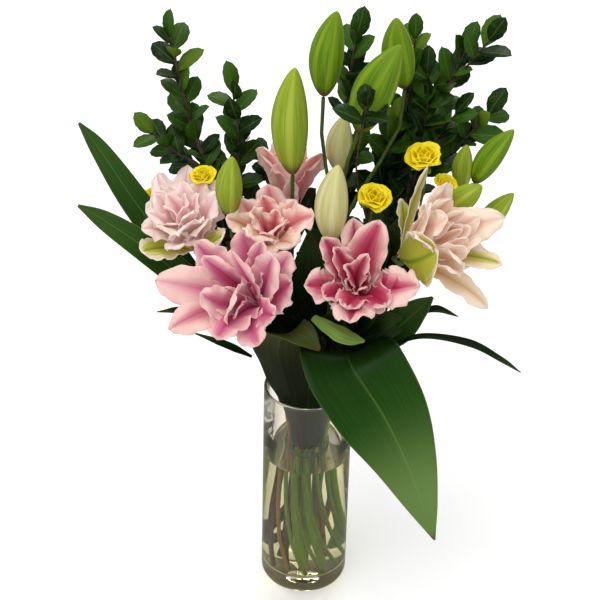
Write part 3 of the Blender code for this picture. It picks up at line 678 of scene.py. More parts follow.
# Ring and azimuth in the bunch, then each twig as its bare share and its places in mm from the rim.
# The first twig of a sprig grows from its stem, and the others fork from it.
SPRIGS = {
    "left_tall": (2, 150, (
        (0.12, ((-72, 54, 120), (-108, 54, 222), (-133, 60, 292), (-145, 66, 342), (-154, 70, 386))),
    )),
    "left_low": (1, 150, (
        (0.40, ((-88, 30, 150), (-118, 44, 240), (-146, 46, 262), (-172, 46, 286))),
        (0.35, ((-88, 30, 150), (-82, 42, 250), (-82, 46, 292), (-88, 50, 334))),
    )),
    "back": (1, 90, (
        (0.72, ((14, 60, 140), (26, 76, 250), (34, 84, 330), (40, 88, 382))),
        (0.25, ((14, 60, 140), (-26, 84, 205), (-60, 84, 240))),
        (0.0, ((14, 60, 140), (22, 62, 180), (32, 62, 222), (44, 62, 262))),
        (0.0, ((8, 44, 30), (18, 10, 44), (24, -30, 80))),
    )),
    "right_tall": (2, 90, (
        (0.05, ((52, 60, 130), (84, 68, 240), (98, 80, 318), (102, 88, 384))),
        (0.05, ((84, 68, 240), (116, 76, 290), (138, 80, 332), (156, 84, 374))),
        (0.50, ((138, 80, 332), (160, 76, 362), (178, 70, 392))),
        (0.0, ((70, 60, 190), (110, 62, 262), (118, 66, 320), (116, 72, 352))),
        (0.0, ((70, 60, 190), (78, 58, 250), (84, 60, 304))),
    )),
    "right_wide": (2, 60, (
        (0.05, ((76, 40, 130), (106, 50, 236), (126, 55, 278), (148, 58, 312))),
        (0.05, ((106, 50, 236), (140, 54, 262), (162, 54, 288), (182, 56, 314))),
        (0.88, ((76, 40, 130), (54, 14, 218), (43, -10, 280), (50, -34, 362))),
    )),
}
TWIG_STEPS = 16
NEARLY_BARE = 0.8
GOLDEN_ANGLE = 137.5
SPRIG_LEAF_LENGTH = 40 * MM
SPRIG_LEAF_WIDTH = 23 * MM
SPRIG_LEAF_STEP = 7.4 * MM


def toothed_leaf():
    """One small leaf with its stalk at the origin and its tip along +Y. Its edge has a few blunt teeth."""
    v = np.array([0.0, 0.1, 0.28, 0.46, 0.58, 0.7, 0.8, 0.91, 1.0])
    outline = np.array([0.08, 0.34, 0.80, 1.02, 0.97, 0.99, 0.80, 0.58, 0.06])
    half = SPRIG_LEAF_WIDTH / 2 * outline
    across = np.array([-1.0, 0.0, 1.0])
    x = across[None, :] * half[:, None]
    y = v[:, None] * SPRIG_LEAF_LENGTH - np.abs(across)[None, :] * 1.2 * MM
    z = np.abs(across)[None, :] * half[:, None] * 0.26 - (v[:, None] ** 2) * 5.0 * MM
    return sheet("toothed_leaf", [np.stack([x, y, z], axis=-1)], 0.45 * MM)


def leaf_setter(material):
    """Geometry Nodes that set a leaf on each point, turned and sized by the point's own values."""
    tree = bpy.data.node_groups.new("leaves_on_twig", "GeometryNodeTree")
    kinds = {"Geometry": "Geometry", "Leaf": "Object", "Size": "Float", "Size variation": "Float"}
    for name, kind in kinds.items():
        tree.interface.new_socket(name=name, in_out="INPUT", socket_type="NodeSocket" + kind)
    tree.interface.new_socket(name="Geometry", in_out="OUTPUT", socket_type="NodeSocketGeometry")
    build = Shading(tree)
    given = build.node("NodeGroupInput", {}).outputs
    leaf = build.node("GeometryNodeObjectInfo", {"Object": given["Leaf"]}, transform_space="ORIGINAL")
    turn = build.node("GeometryNodeInputNamedAttribute", {"Name": "turn"}, data_type="FLOAT_VECTOR")
    facing = build.node("FunctionNodeEulerToRotation", {0: turn.outputs["Attribute"]})
    size = build.node("GeometryNodeInputNamedAttribute", {"Name": "size"}, data_type="FLOAT")
    chance = build.node("FunctionNodeRandomValue", {"Min": -1.0, "Max": 1.0, "Seed": 11}, data_type="FLOAT")
    swing = build.times(chance.outputs[1], given["Size variation"])
    scale = build.times(build.plus(swing, 1.0), given["Size"])
    scale = build.times(scale, size.outputs["Attribute"])
    fed = {"Points": given["Geometry"], "Instance": leaf.outputs["Geometry"], "Rotation": facing.outputs[0]}
    set_on = build.node("GeometryNodeInstanceOnPoints", {**fed, "Scale": scale})
    real = build.node("GeometryNodeRealizeInstances", {"Geometry": set_on.outputs[0]})
    painted = build.node("GeometryNodeSetMaterial", {"Geometry": real.outputs[0], "Material": material})
    build.node("NodeGroupOutput", {"Geometry": painted.outputs[0]})
    return tree


def small_leaf_material():
    """Leathery green with a pale midrib. Leaf by leaf, it goes from near black to a fresh yellow-green, by
    its own tone and by painted light and shade.
    """
    material, paint, shader = new_material("small_leaf_face", Roughness=0.4, Specular_IOR_Level=0.12)
    u, v = paint.parts("UV")[:2]
    middle = paint.off_middle(u)
    shade = paint.own("shade")
    grain = paint.noise(paint.place(), 160.0, 3.0)
    body = paint.coats(
        colour("10260A"),
        # each leaf's own tone mixed with painted light and shade: near black deep in the bunch, yellow-green
        # where lit
        (paint.ramp(shade, 0.1, 0.75), "30540E"),
        (paint.ramp(shade, 0.8, 1.0), "688220"),
        (paint.ramp(grain, 0.45, 0.75, 0.0, 0.4), "3A5A12"),
        (paint.ramp(middle, 0.04, 0.0, 0.0, 0.4), "6E8838"),
    )
    slant = paint.plus(v, paint.times(middle, -0.7))
    rib = paint.maths("SINE", paint.times(slant, 50.0))
    height = paint.plus(rib, paint.times(grain, 1.5))
    surface(paint, shader, body, height, 0.25, 0.5 * MM)
    return material


small_leaf_face = small_leaf_material()
bark, paint, shader = new_material("twig_bark", Roughness=0.7)
grain = paint.grain(paint.place(), (500, 500, 90), 4.0)
body = paint.coats(colour("241A14"), (paint.ramp(grain, 0.3, 0.7), "5A4030"))
surface(paint, shader, body, grain, 0.6, 0.6 * MM)

leaf_shape = toothed_leaf()
setter = leaf_setter(small_leaf_face)
chance = np.random.default_rng(7)
LEAF_LOOK = Vector((0.0, -0.6, 0.8))
for side, (ring, azimuth, branches) in SPRIGS.items():
    twigs, spots, turns, sizes, tones_and_painted_shades = [], [], [], [], []
    for k, (bare, places) in enumerate(branches):
        line = smooth_line([from_rim(*at) for at in places], TWIG_STEPS)
        path, radii, leafy = line, [1.5 * MM, 1.1 * MM, 0.8 * MM], line
        if k == 0:
            foot = bundle(ring, azimuth)
            head, aim = Vector(line[0]), Vector(line[1] - line[0]).normalized()
            rise = head.z - foot[-1].z
            flat = Vector((foot[-1].x, foot[-1].y, 0))
            early = foot[-1] + flat * 0.5 + Vector((0, 0, rise * 0.42))
            late = head - aim * rise * 0.30
            t = np.linspace(0, 1, 20)[1:-1, None]
            arch = (1 - t) ** 3 * np.array(foot[-1]) + 3 * (1 - t) ** 2 * t * np.array(early)
            arch = arch + 3 * (1 - t) * t**2 * np.array(late) + t**3 * np.array(head)
            path = [*foot, *arch, *line]
            radii = [3.2 * MM, 3.2 * MM, 3.0 * MM, 2.4 * MM, 1.6 * MM, 1.0 * MM]
            leafy = np.concatenate([arch[9:], line])
        twigs.append(tube(f"twig_{side}_{k}", path, radii, 10))
        wear(twigs[-1], bark)
        reach = np.concatenate([[0], np.cumsum(np.linalg.norm(np.diff(leafy, axis=0), axis=1))])

        def along_twig(share):
            return Vector([np.interp(share * reach[-1], reach, leafy[:, j]) for j in range(3)])

        count = int(reach[-1] * (1 - bare) / SPRIG_LEAF_STEP)
        for i in range(count + 1):
            t = bare + (1 - bare) * i / count
            at = along_twig(t)
            ahead = min(t + 0.03, 1)
            along = (along_twig(ahead) - along_twig(ahead - 0.06)).normalized()
            out = Matrix.Rotation(math.radians(GOLDEN_ANGLE * i), 3, along) @ along.orthogonal().normalized()
            lean = math.radians(8 if i == count else chance.uniform(22, 62))
            tip = along * math.cos(lean) + out * math.sin(lean)
            look = LEAF_LOOK + along * 0.5 + Vector(chance.uniform(-0.35, 0.35, 3))
            across = tip.cross(look).normalized()
            spots.append(at)
            turns.append(tuple(Matrix((across, tip, across.cross(tip))).transposed().to_euler()))
            sizes.append((1.05 - 0.28 * t) * chance.uniform(0.85, 1.15))
            # painted shade and light: leaves deep in the bunch are painted dark, and the leaves of a nearly
            # bare twig that stands in front are painted half lit
            painted_light = 0.25 + 0.75 * min(max((at.z - VASE_HEIGHT - 0.20) / 0.1, 0), 1)
            painted_light = 0.5 if bare > NEARLY_BARE else painted_light
            tones_and_painted_shades.append(painted_light * (chance.uniform(0, 0.8) + 0.3 * t * (chance.uniform() > 0.5)))
    mesh = bpy.data.meshes.new("leaf_points_" + side)
    mesh.from_pydata(spots, [], [])
    give(mesh, "turn", turns, "FLOAT_VECTOR", "vector")
    give(mesh, "size", sizes)
    give(mesh, "shade", tones_and_painted_shades)
    leaves = linked("leaf_points_" + side, mesh)
    setting = leaves.modifiers.new("leaves", "NODES")
    setting.node_group = setter
    values = {"Leaf": leaf_shape, "Size": 1.0, "Size variation": 0.1}
    for item in setter.interface.items_tree:
        if item.in_out == "INPUT" and item.name in values:
            setting[item.identifier] = values[item.name]
    sprig = joined("sprig_" + side, [flattened(leaves), *twigs])
    finish(sprig, "woody_stem", "foliage_" + side)
bpy.data.objects.remove(leaf_shape)


# ------------------------------------------------------------------ open double lilies
# Each bloom is a trumpet of broad, ruffled outer tepals round tighter whorls of small ones.
# A tepal grows from the seat to its own tip, and its colour pales from midrib to edge. The outermost
# are partly or wholly green bracts.


def stands_on(node):
    """Where a CAD flower or bud starts, the way it points and how long it is."""
    points = np.array([v.co for v in nodes[node].data.vertices], float)
    middle = points.mean(0)
    spreads, axes = np.linalg.eigh(np.cov((points - middle).T))
    alone = 0 if spreads[1] - spreads[0] > spreads[2] - spreads[1] else 2
    axis = axes[:, alone]
    if axis[2] < 0:
        axis = -axis
    reach = (points - middle) @ axis
    return middle + axis * reach.min(), axis, reach.max() - reach.min()


def tepal(seat, tip, facing, width, bend, cup, ruffle, seed, rows=34, columns=17, widest=0.60, base=0.20):
    """The places of one tepal from seat to tip. facing is the flower's axis. bend, in radians, is how far its
    end turns out, cup how far its sides turn up, and widest and base are its outline."""
    luck = np.random.default_rng(seed)
    chord = tip - seat
    length = np.linalg.norm(chord)
    away = chord / length
    inner = facing - away * (facing @ away)
    inner = inner / max(np.linalg.norm(inner), 1e-6)
    side = np.cross(away, inner)

    # the midrib, bent and then turned so that it still ends at the tip
    s = np.linspace(0, 1, rows)
    angle = bend * (0.5 - s**1.6) - 0.35 * np.clip((s - 0.8) / 0.2, 0, 1) ** 2
    x = np.concatenate([[0], np.cumsum((np.cos(angle[1:]) + np.cos(angle[:-1])) / 2)])
    y = np.concatenate([[0], np.cumsum((np.sin(angle[1:]) + np.sin(angle[:-1])) / 2)])
    tilt = math.atan2(y[-1], x[-1])
    c, d = length / math.hypot(x[-1], y[-1]) * np.array((math.cos(tilt), math.sin(tilt)))
    x, y = x * c + y * d, y * c - x * d
    angle = angle - tilt
    normal = -np.sin(angle)[:, None] * away + np.cos(angle)[:, None] * inner
    sway = luck.uniform(-0.06, 0.06) * length * np.sin(np.pi * s)
    line = seat + x[:, None] * away + y[:, None] * inner + sway[:, None] * side

    # the outline, cupped round the midrib, which is a sunk groove
    rise = np.clip(s / widest, 0, 1)
    fall = np.clip((s - widest) / (1 - widest), 0, 1)
    half = width / 2 * (base + (1 - base) * np.sin(rise * np.pi / 2) ** 1.2) * (1 - fall**2.2) ** 0.58
    half = half[:, None] + 0.2 * MM
    s = s[:, None]
    v = np.linspace(-1, 1, columns)[None, :]
    edge, hand = np.abs(v), np.sign(v)
    curl = cup * (1 - 0.9 * s)
    reach = np.maximum(np.abs(curl), 0.02)
    wide = half * np.sin(reach * v) / reach
    lift = half * (1 - np.cos(curl * v)) / reach
    lift = lift - 0.05 * width * np.exp(-((v / 0.12) ** 2)) * np.sin(np.pi * s) ** 0.5
    lift = lift - 0.30 * half * edge**3 * np.clip((s - 0.45) / 0.5, 0, 1)

    # ruffles that grow towards the edge, a frilled end and a slight twist
    phase = luck.uniform(0, 6.28, 5)
    beat = 8 * np.pi * luck.uniform(0.85, 1.2) * s
    fade = np.clip((s - 0.20) / 0.30, 0, 1) * np.clip((1.06 - s) / 0.15, 0, 1)
    wave = np.sin(beat + phase[0] + 2.2 * hand) + 0.5 * np.sin(2.1 * beat + phase[1] - 1.3 * hand)
    fine = np.sin(4.3 * beat + phase[3] + 0.9 * hand)
    lift = lift + ruffle * fade * (edge**2 * wave + 0.28 * edge**5 * fine)
    wide = wide + ruffle * 0.45 * fade * edge**2 * np.cos(1.3 * beat + phase[2] + hand)
    lift = lift + ruffle * 0.5 * np.clip((s - 0.75) / 0.25, 0, 1) * np.sin(9 * v + phase[4])
    twist = luck.uniform(-0.25, 0.25) * s
    wide, lift = wide * np.cos(twist) - lift * np.sin(twist), wide * np.sin(twist) + lift * np.cos(twist)
    return line[:, None] + side * wide[:, :, None] + normal[:, None] * lift[:, :, None]


def tepal_painter():
    """Shader group: deep colour along the midrib and in the throat, paler to a nearly white edge, with
    fine veins. A bract is yellow-green with a greener midrib instead."""
    tree = bpy.data.node_groups.new("tepal_colours", "ShaderNodeTree")
    sockets = [(name, "INPUT", "Color") for name in ("Throat", "Deep", "Middle", "Edge", "Bract")]
    sockets += [("Reach", "INPUT", "Float"), ("Veins", "INPUT", "Float")]
    sockets += [("Colour", "OUTPUT", "Color"), ("Height", "OUTPUT", "Float")]
    for name, way, kind in sockets:
        tree.interface.new_socket(name=name, in_out=way, socket_type="NodeSocket" + kind)
    paint = Shading(tree)
    given = paint.node("NodeGroupInput", {}).outputs
    u, v = paint.parts("UV")[:2]
    tint = paint.own("tint")
    moved = paint.node("ShaderNodeCombineXYZ", {0: u, 1: v, 2: paint.times(tint, 9.0)}).outputs[0]
    cloud = paint.grain(moved, (3.0, 2.2, 1.0))
    vein = paint.grain(moved, (34.0, 1.4, 1.0), 2.0, 0.3)
    across = paint.times(paint.off_middle(u), 2.0)
    core = paint.maths("SUBTRACT", given["Reach"], across)
    for what, usual, share in (
        (paint.maths("POWER", v, 2.0), 0.0, -0.62),
        (cloud, 0.5, 0.5),
        (tint, 0.4, -0.8),
        (vein, 0.5, given["Veins"]),
    ):
        core = paint.plus(core, paint.times(paint.maths("SUBTRACT", what, usual), share))
    green = paint.coats(
        given["Edge"],
        (paint.ramp(paint.plus(core, vein), -0.3, 0.5, 0.3, 1.0), given["Bract"]),
        (paint.ramp(across, 0.16, 0.0, 0.0, 0.8), "64801A"),
    )
    rim = paint.maths("MAXIMUM", paint.ramp(across, 0.86, 0.98), paint.ramp(v, 0.94, 0.99))
    body = paint.coats(
        given["Edge"],
        (paint.ramp(core, -0.55, 0.25), given["Middle"]),
        (paint.ramp(core, 0.0, 0.75), given["Deep"]),
        (paint.ramp(v, 0.26, 0.02), given["Throat"]),
        (paint.own("bract"), green),
        (paint.times(rim, 0.85), given["Edge"]),
    )
    height = paint.plus(vein, paint.times(cloud, 0.6))
    paint.node("NodeGroupOutput", {"Colour": body, "Height": height})
    return tree


TEPAL_PAINT = tepal_painter()
BRACT_GREEN = colour("A9AE3A")


def petal_material(name, throat, deep, middle, edge, reach, veins=0.35):
    material, paint, shader = new_material(
        name, Roughness=0.6, Specular_IOR_Level=0.15, Subsurface_Weight=0.2, Subsurface_Scale=4 * MM
    )
    paint.feed(shader, "Subsurface Radius", (1.0, 0.45, 0.4))
    colours = zip(("Throat", "Deep", "Middle", "Edge"), map(colour, (throat, deep, middle, edge)))
    given = {**dict(colours), "Bract": BRACT_GREEN, "Reach": reach, "Veins": veins}
    group = paint.node("ShaderNodeGroup", {}, node_tree=TEPAL_PAINT)
    for key, value in given.items():
        paint.feed(group, key, value)
    body, height = group.outputs["Colour"], group.outputs["Height"]
    surface(paint, shader, body, height, 0.35, 0.9 * MM)
    # painted light: the petals glow faintly in their own colour, which lifts their shadows
    paint.feed(shader, "Emission Color", body)
    paint.feed(shader, "Emission Strength", 0.09)
    return material


def round_axis(axis, hint):
    """Two directions across a flower's axis, from which turns round it are counted."""
    right = unit(np.cross(axis, hint))
    return right, np.cross(right, axis)


# A bloom is its slot, the colours and core width of its faces and backs, an axis of its own or None, its
# tepals and its whorls. A tepal is (x, y, z of the tip from the seat, width, bend, cup, ruffle, paleness), in
# mm and radians, and a last number says how far it is a green bract. A paleness of 1 has no deep core.
# A whorl is (count, spread from the axis in degrees, length, width, bend, cup, ruffle, paleness).
LILIES = {
    "left": ("blush_tepal", ("DCD08C", "D08490", "E0B0B0", "F0DAD4", 0.64),
        ("B4B64C", "DDB0B0", "EBCCC6", "F8E4DE", 0.42), None, (
        (-54, -52, 26, 42, 0.3, 0.8, 1.6, 0.3, 1.0),
        (-46, -13, 68, 38, 0.6, 0.6, 3.2, 0.7, 0.5),
        (-43, 27, 76, 36, 0.6, 0.6, 3.2, 0.7),
        (-11, 37, 82, 36, 0.5, 0.6, 3.2, 0.6),
        (27, 7, 80, 36, 0.5, 0.7, 3.2, 0.6, 0.2),
        (32, -60, 52, 34, 0.0, 0.9, 1.4, 0.4, 1.0),
        (-6, -66, 66, 44, 0.3, 0.8, 3.0, 0.6, 0.2),
        (-32, -60, 60, 42, 0.3, 0.8, 3.0, 0.6, 0.5),
    ), (
        (7, 30, 88, 33, 0.5, 0.6, 2.2, 0.6),
        (6, 19, 90, 29, 0.4, 0.8, 1.8, 0.5),
        (4, 9, 86, 22, 0.3, 0.9, 1.4, 0.4),
    )),
    "front_left": ("pink_tepal", ("7E1030", "A42E5A", "C06A88", "E6BEB8", 0.86),
        ("B4AA5E", "BC7A80", "CC9896", "E2BEB8", 0.42), None, (
        (-106, -28, 46, 46, 0.9, 0.45, 1.6, 1.0),
        (-90, -56, 5, 40, 1.1, 0.5, 1.8, 0.8, 0.1),
        (-40, -74, 6, 46, 1.2, 0.6, 3.0, 0.35),
        (2, -76, 2, 42, 1.3, 0.6, 3.6, 0.45),
        (34, -34, 52, 42, 0.8, 0.6, 2.8, 0.3),
        (32, -14, 74, 40, 0.6, 0.7, 2.4, 0.6),
        (-18, 14, 84, 44, 0.4, 0.6, 1.4, 0.45),
        (-66, 6, 74, 42, 0.5, 0.6, 2.4, 0.5),
        (-56, -30, 78, 36, 0.3, 0.9, 1.8, 0.4),
        (16, -48, 90, 42, 0.2, 0.9, 1.2, 0.75),
        (-26, -46, 94, 34, 0.1, 1.0, 1.4, 0.6),
        (4, -30, 96, 30, 0.2, 1.0, 1.8, 0.5),
        (-58, -58, 50, 36, 0.4, 0.8, 2.0, 0.7),
        (-28, -78, 44, 46, 0.6, 0.8, 2.4, 0.75),
        (18, -70, 34, 34, 0.8, 0.7, 3.0, 0.2),
    ), (
        (3, 12, 72, 24, 0.2, 1.0, 1.2, 0.3),
    )),
    "middle": ("pink_tepal", ("7E0E22", "AC3450", "CC807E", "ECCCC0", 0.78),
        ("A09A3C", "C07850", "D69C84", "ECCAB6", 0.5), None, (
        (-34, 16, 50, 34, 0.5, 0.8, 2.4, 0.7),
        (-4, 32, 60, 36, 0.3, 0.7, 1.6, 0.4),
        (46, -26, 56, 44, 0.7, 0.8, 3.0, 0.5),
        (-46, -22, 48, 32, 0.5, 0.9, 2.0, 0.6, 0.3),
        (-19, -56, 46, 38, 0.7, 0.7, 2.8, 0.7, 0.2),
        (26, -58, 38, 40, 0.8, 0.7, 2.8, 0.6, 0.2),
        (-20, -28, 60, 28, 0.3, 1.0, 2.4, 0.6),
        (12, -38, 50, 30, 0.4, 0.9, 2.4, 0.6),
        (-9, 4, 62, 28, 0.3, 0.9, 2.0, 0.3),
        (26, 6, 56, 30, 0.4, 0.8, 2.6, 0.6),
    ), (
        (4, 16, 52, 20, 0.3, 0.9, 1.8, 0.3),
    )),
    "front": ("pink_tepal", ("66061C", "92183A", "B44C64", "E6C2BA", 1.0),
        ("9CA24A", "B0606E", "C68A8E", "E0BCB4", 0.4), None, (
        (-55, -40, 50, 42, 1.0, 0.8, 4.6, 0.5),
        (-9, -82, 34, 46, 1.2, 0.6, 4.8, 0.7),
        (62, -45, 56, 54, 1.1, 0.7, 4.0, 0.85),
        (20, 0, 106, 42, 0.4, 0.7, 1.8, 0.55),
        (-6, 18, 98, 34, 0.3, 0.7, 2.0, 0.8),
        (-38, -10, 90, 32, 0.4, 0.9, 2.6, 0.45),
        (8, -38, 88, 20, 0.3, 1.3, 2.6, 0.5),
        (-26, -22, 86, 22, 0.4, 1.2, 2.2, 0.3),
        (-15, -40, 76, 18, 0.4, 1.2, 2.0, 0.3),
        (-12, -74, 46, 38, 1.1, 0.7, 4.0, 0.1),
        (28, -68, 46, 38, 1.1, 0.7, 4.0, 0.1),
        (50, -48, 48, 38, 1.0, 0.7, 4.0, 0.1),
        (-36, -54, 46, 32, 1.0, 0.7, 4.0, 0.1),
    ), (
        (3, 12, 60, 16, 0.3, 1.0, 2.0, 0.3),
    )),
    "right": ("blush_tepal", ("C49470", "CC8C72", "DCB49C", "EED8C8", 0.66),
        ("94A02C", "C6BC66", "E6D4A8", "F6EAD6", 0.48), (68, -50, 72), (
        (24, 6, 104, 20, -0.2, 1.2, 0.6, 0.6, 1.0),
        (-2, 12, 62, 22, 0.5, 1.2, 1.0, 0.4, 1.0),
        (48, -4, 90, 32, 0.3, 0.8, 2.0, 0.8),
        (104, -20, 62, 40, 0.4, 0.7, 2.6, 0.7),
        (104, -44, 18, 34, 0.4, 0.9, 1.6, 0.7, 0.9),
        (92, -46, -34, 36, 0.9, 0.6, 1.4, 0.7, 0.25),
        (34, -76, 52, 60, -0.75, 0.7, 1.0, 0.1, 1.0),
        (60, -74, 36, 40, 0.4, 0.8, 2.4, 0.8, 0.2),
    ), (
        (6, 27, 100, 38, 0.1, 0.8, 2.0, 0.8),
        (5, 16, 102, 34, -0.3, 0.9, 1.4, 0.6),
        (4, 8, 100, 26, -0.5, 1.1, 1.0, 0.5),
        (3, 4, 97, 14, -0.3, 1.3, 0.8, 0.3),
    )),
    "back": ("blush_tepal", ("A83844", "C0606E", "D88E8C", "F2D0C6", 0.75),
        ("A8742C", "C8766C", "DC9A90", "F0CABC", 0.8), None, (
        (-32, -30, 100, 46, 0.2, 0.5, 1.0, 0.7),
        (28, -28, 94, 46, 0.2, 0.5, 1.0, 0.3),
        (-34, -20, 84, 36, 0.5, 0.7, 2.0, 0.6),
        (30, -20, 84, 36, 0.5, 0.7, 2.0, 0.2, 0.1),
        (-5, 32, 96, 40, 0.4, 0.6, 2.0, 0.6),
        (-6, -34, 88, 40, 0.5, 0.7, 2.0, 0.4, 0.2),
    ), (
        (4, 11, 86, 26, 0.3, 0.9, 2.0, 0.4),
    )),
}
for order, (side, (slot, face, back, heart, tepals, whorls)) in enumerate(LILIES.items()):
    axis = stands_on(f"lily_{side}_inner_tepals")[1]
    seat = stands_on(f"lily_{side}_outer_tepals")[0]
    petals, tags = [], []
    chance = np.random.default_rng(40 + order)

    def grow(start_at, tip, facing, width, bend, cup, ruffle, tag):
        seed = 100 * order + len(petals)
        petals.append(tepal(start_at, tip, facing, width * MM, bend, cup, ruffle * MM, seed))
        tags.append(tag)

    for x, y, z, width, bend, cup, ruffle, paleness, *bract in tepals:
        tag = (paleness, bract[0] if bract else 0.0)
        grow(seat, seat + np.array((x, y, z)) * MM, axis, width, bend, cup, ruffle, tag)
    heart = unit(np.array(heart, float)) if heart else unit(axis)
    right, up = round_axis(heart, (0.2, 0.9, 0.1))
    for count, spread, length, width, bend, cup, ruffle, paleness in whorls:
        start = chance.uniform(0, 2 * np.pi)
        for k in range(count):
            turn = start + 2 * np.pi * k / count + chance.uniform(-0.15, 0.15)
            lean = math.radians(spread * chance.uniform(0.85, 1.2))
            radial = right * math.cos(turn) + up * math.sin(turn)
            reach = length * MM * chance.uniform(0.92, 1.06)
            tip = seat + reach * (heart * math.cos(lean) + radial * math.sin(lean))
            start_at = seat + radial * 2 * MM + heart * 4 * MM
            tag = (paleness + chance.uniform(-0.12, 0.12), 0.0)
            grow(start_at, tip, heart, width, bend, cup, ruffle, tag)
    bloom = sheet("lily_bloom_" + side, petals, 0.7 * MM, tags)
    wear(bloom, petal_material(f"tepal_face_{side}", *face), petal_material(f"tepal_back_{side}", *back))
    finish(bloom, slot, f"lily_{side}_outer_tepals", f"lily_{side}_inner_tepals")


# ------------------------------------------------------------------ closed lily buds
# Three outer tepals, pressed together edge to edge, each with a raised rib down its middle.
# The bud is yellow-green, paler along its ribs, and brown where it joins the pedicel.


def bud_mesh(name, foot, axis, length, girth, turn):
    around, rows = 60, 44
    right, up = round_axis(axis, (0.3, 0.9, 0.2))
    t = np.linspace(0, 1, rows)[:, None]
    angle = np.linspace(0, 2 * np.pi, around + 1)[None, :] + turn + 0.25 * t
    swell = np.sin(np.pi * np.clip(t, 0.0001, 0.9999) ** 0.86) ** 0.68
    rib = np.exp(-((np.abs(np.sin(1.5 * angle)) / 0.17) ** 2))
    seam = np.exp(-((np.abs(np.cos(1.5 * angle)) / 0.10) ** 2))
    radius = girth * swell * (1 + 0.045 * np.cos(3 * angle) + 0.05 * rib - 0.07 * seam)
    out = right * np.cos(angle)[..., None] + up * np.sin(angle)[..., None]
    bow = 0.03 * length * np.sin(np.pi * t)
    places = foot + axis * (length * t)[..., None] + out * radius[..., None] + right * bow[..., None]
    shape = bmesh.new()
    layer = shape.loops.layers.uv.new("UVMap")
    grid = [[shape.verts.new(places[i, j]) for j in range(around)] for i in range(rows)]
    for i in range(rows - 1):
        for j in range(around):
            corners = ((i, j), (i, j + 1), (i + 1, j + 1), (i + 1, j))
            face = shape.faces.new([grid[a][b % around] for a, b in corners])
            for loop, (a, b) in zip(face.loops, corners):
                loop[layer].uv = (b / around, a / (rows - 1))
    bmesh.ops.remove_doubles(shape, verts=grid[0] + grid[-1], dist=0.8 * MM)
    bmesh.ops.holes_fill(shape, edges=shape.edges, sides=0)
    bmesh.ops.recalc_face_normals(shape, faces=shape.faces)
    mesh = bpy.data.meshes.new(name)
    shape.to_mesh(mesh)
    shape.free()
    mesh.shade_smooth()
    return linked(name, mesh)


def bud_material(name, skin, rib_code, foot_code, tip_code):
    material, paint, shader = new_material(
        name, Roughness=0.45, Specular_IOR_Level=0.16, Subsurface_Weight=0.1, Subsurface_Scale=4 * MM
    )
    u, v = paint.parts("UV")[:2]
    third = paint.times(paint.plus(u, paint.times(v, 0.04)), 3 * math.pi)
    rib = paint.maths("ABSOLUTE", paint.maths("SINE", third))
    fine = paint.grain(paint.place("UV"), (90.0, 2.4, 1.0))
    cloud = paint.noise(paint.place(), 40.0, 3.0)
    body = paint.coats(
        colour(skin),
        (paint.ramp(fine, 0.35, 0.7, 0.0, 0.5), rib_code),
        (paint.ramp(rib, 0.35, 0.05, 0.0, 0.45), rib_code),
        (paint.ramp(rib, 0.93, 1.0, 0.0, 0.65), rib_code),
        (paint.ramp(cloud, 0.5, 0.8, 0.0, 0.3), tip_code),
        (paint.ramp(v, 0.72, 1.0, 0.0, 0.7), tip_code),
        (paint.ramp(v, 0.20, 0.03, 0.0, 0.9), foot_code),
    )
    surface(paint, shader, body, fine, 0.4, 0.8 * MM)
    return material


BUD_SKINS = {
    "green": bud_material("bud_skin_green", "4C7408", "8CA620", "4A3010", "6E8A18"),
    "yellow": bud_material("bud_skin_yellow", "7C961A", "B0BC48", "54400F", "93A42C"),
    "cream": bud_material("bud_skin_cream", "BFBC74", "DEDAAE", "8E8C40", "CFC98C"),
}
# The bud's skin and its widest radius in mm.
BUDS = {
    "top": ("green", 17.5),
    "middle": ("yellow", 19),
    "right_top": ("green", 21),
    "far_top": ("green", 17),
    "left": ("yellow", 14),
    "pale": ("cream", 17),
    "right": ("green", 13),
    "right_inner": ("yellow", 11),
    "right_low": ("yellow", 13),
    "far_right": ("yellow", 12),
    "cream": ("cream", 14),
}
for order, (side, (skin, girth)) in enumerate(BUDS.items()):
    foot, axis, length = stands_on("bud_" + side)
    piece = bud_mesh("lily_bud_" + side, foot, axis, length, girth * MM, order * 1.3)
    wear(piece, BUD_SKINS[skin])
    finish(piece, "green_bud", "bud_" + side)


# ------------------------------------------------------------------ spray roses
# Small double roses, egg-yolk yellow, with rolled petals that wind tighter towards the heart.
# Five narrow green sepals hold each one.

rose_face = petal_material("rose_petal_face", "BC8C00", "D2A800", "E2C400", "F0DC24", 0.7, 0.2)
rose_back = petal_material("rose_petal_back", "B89A10", "DAB408", "ECCE12", "F6E23A", 0.5, 0.2)
sepal_skin, paint, shader = new_material("rose_sepal_skin", Roughness=0.5)
grain = paint.noise(paint.place(), 240.0, 3.0)
surface(paint, shader, paint.coats(colour("3F6A2C"), (grain, "7FA04A")), grain, 0.3, 0.4 * MM)
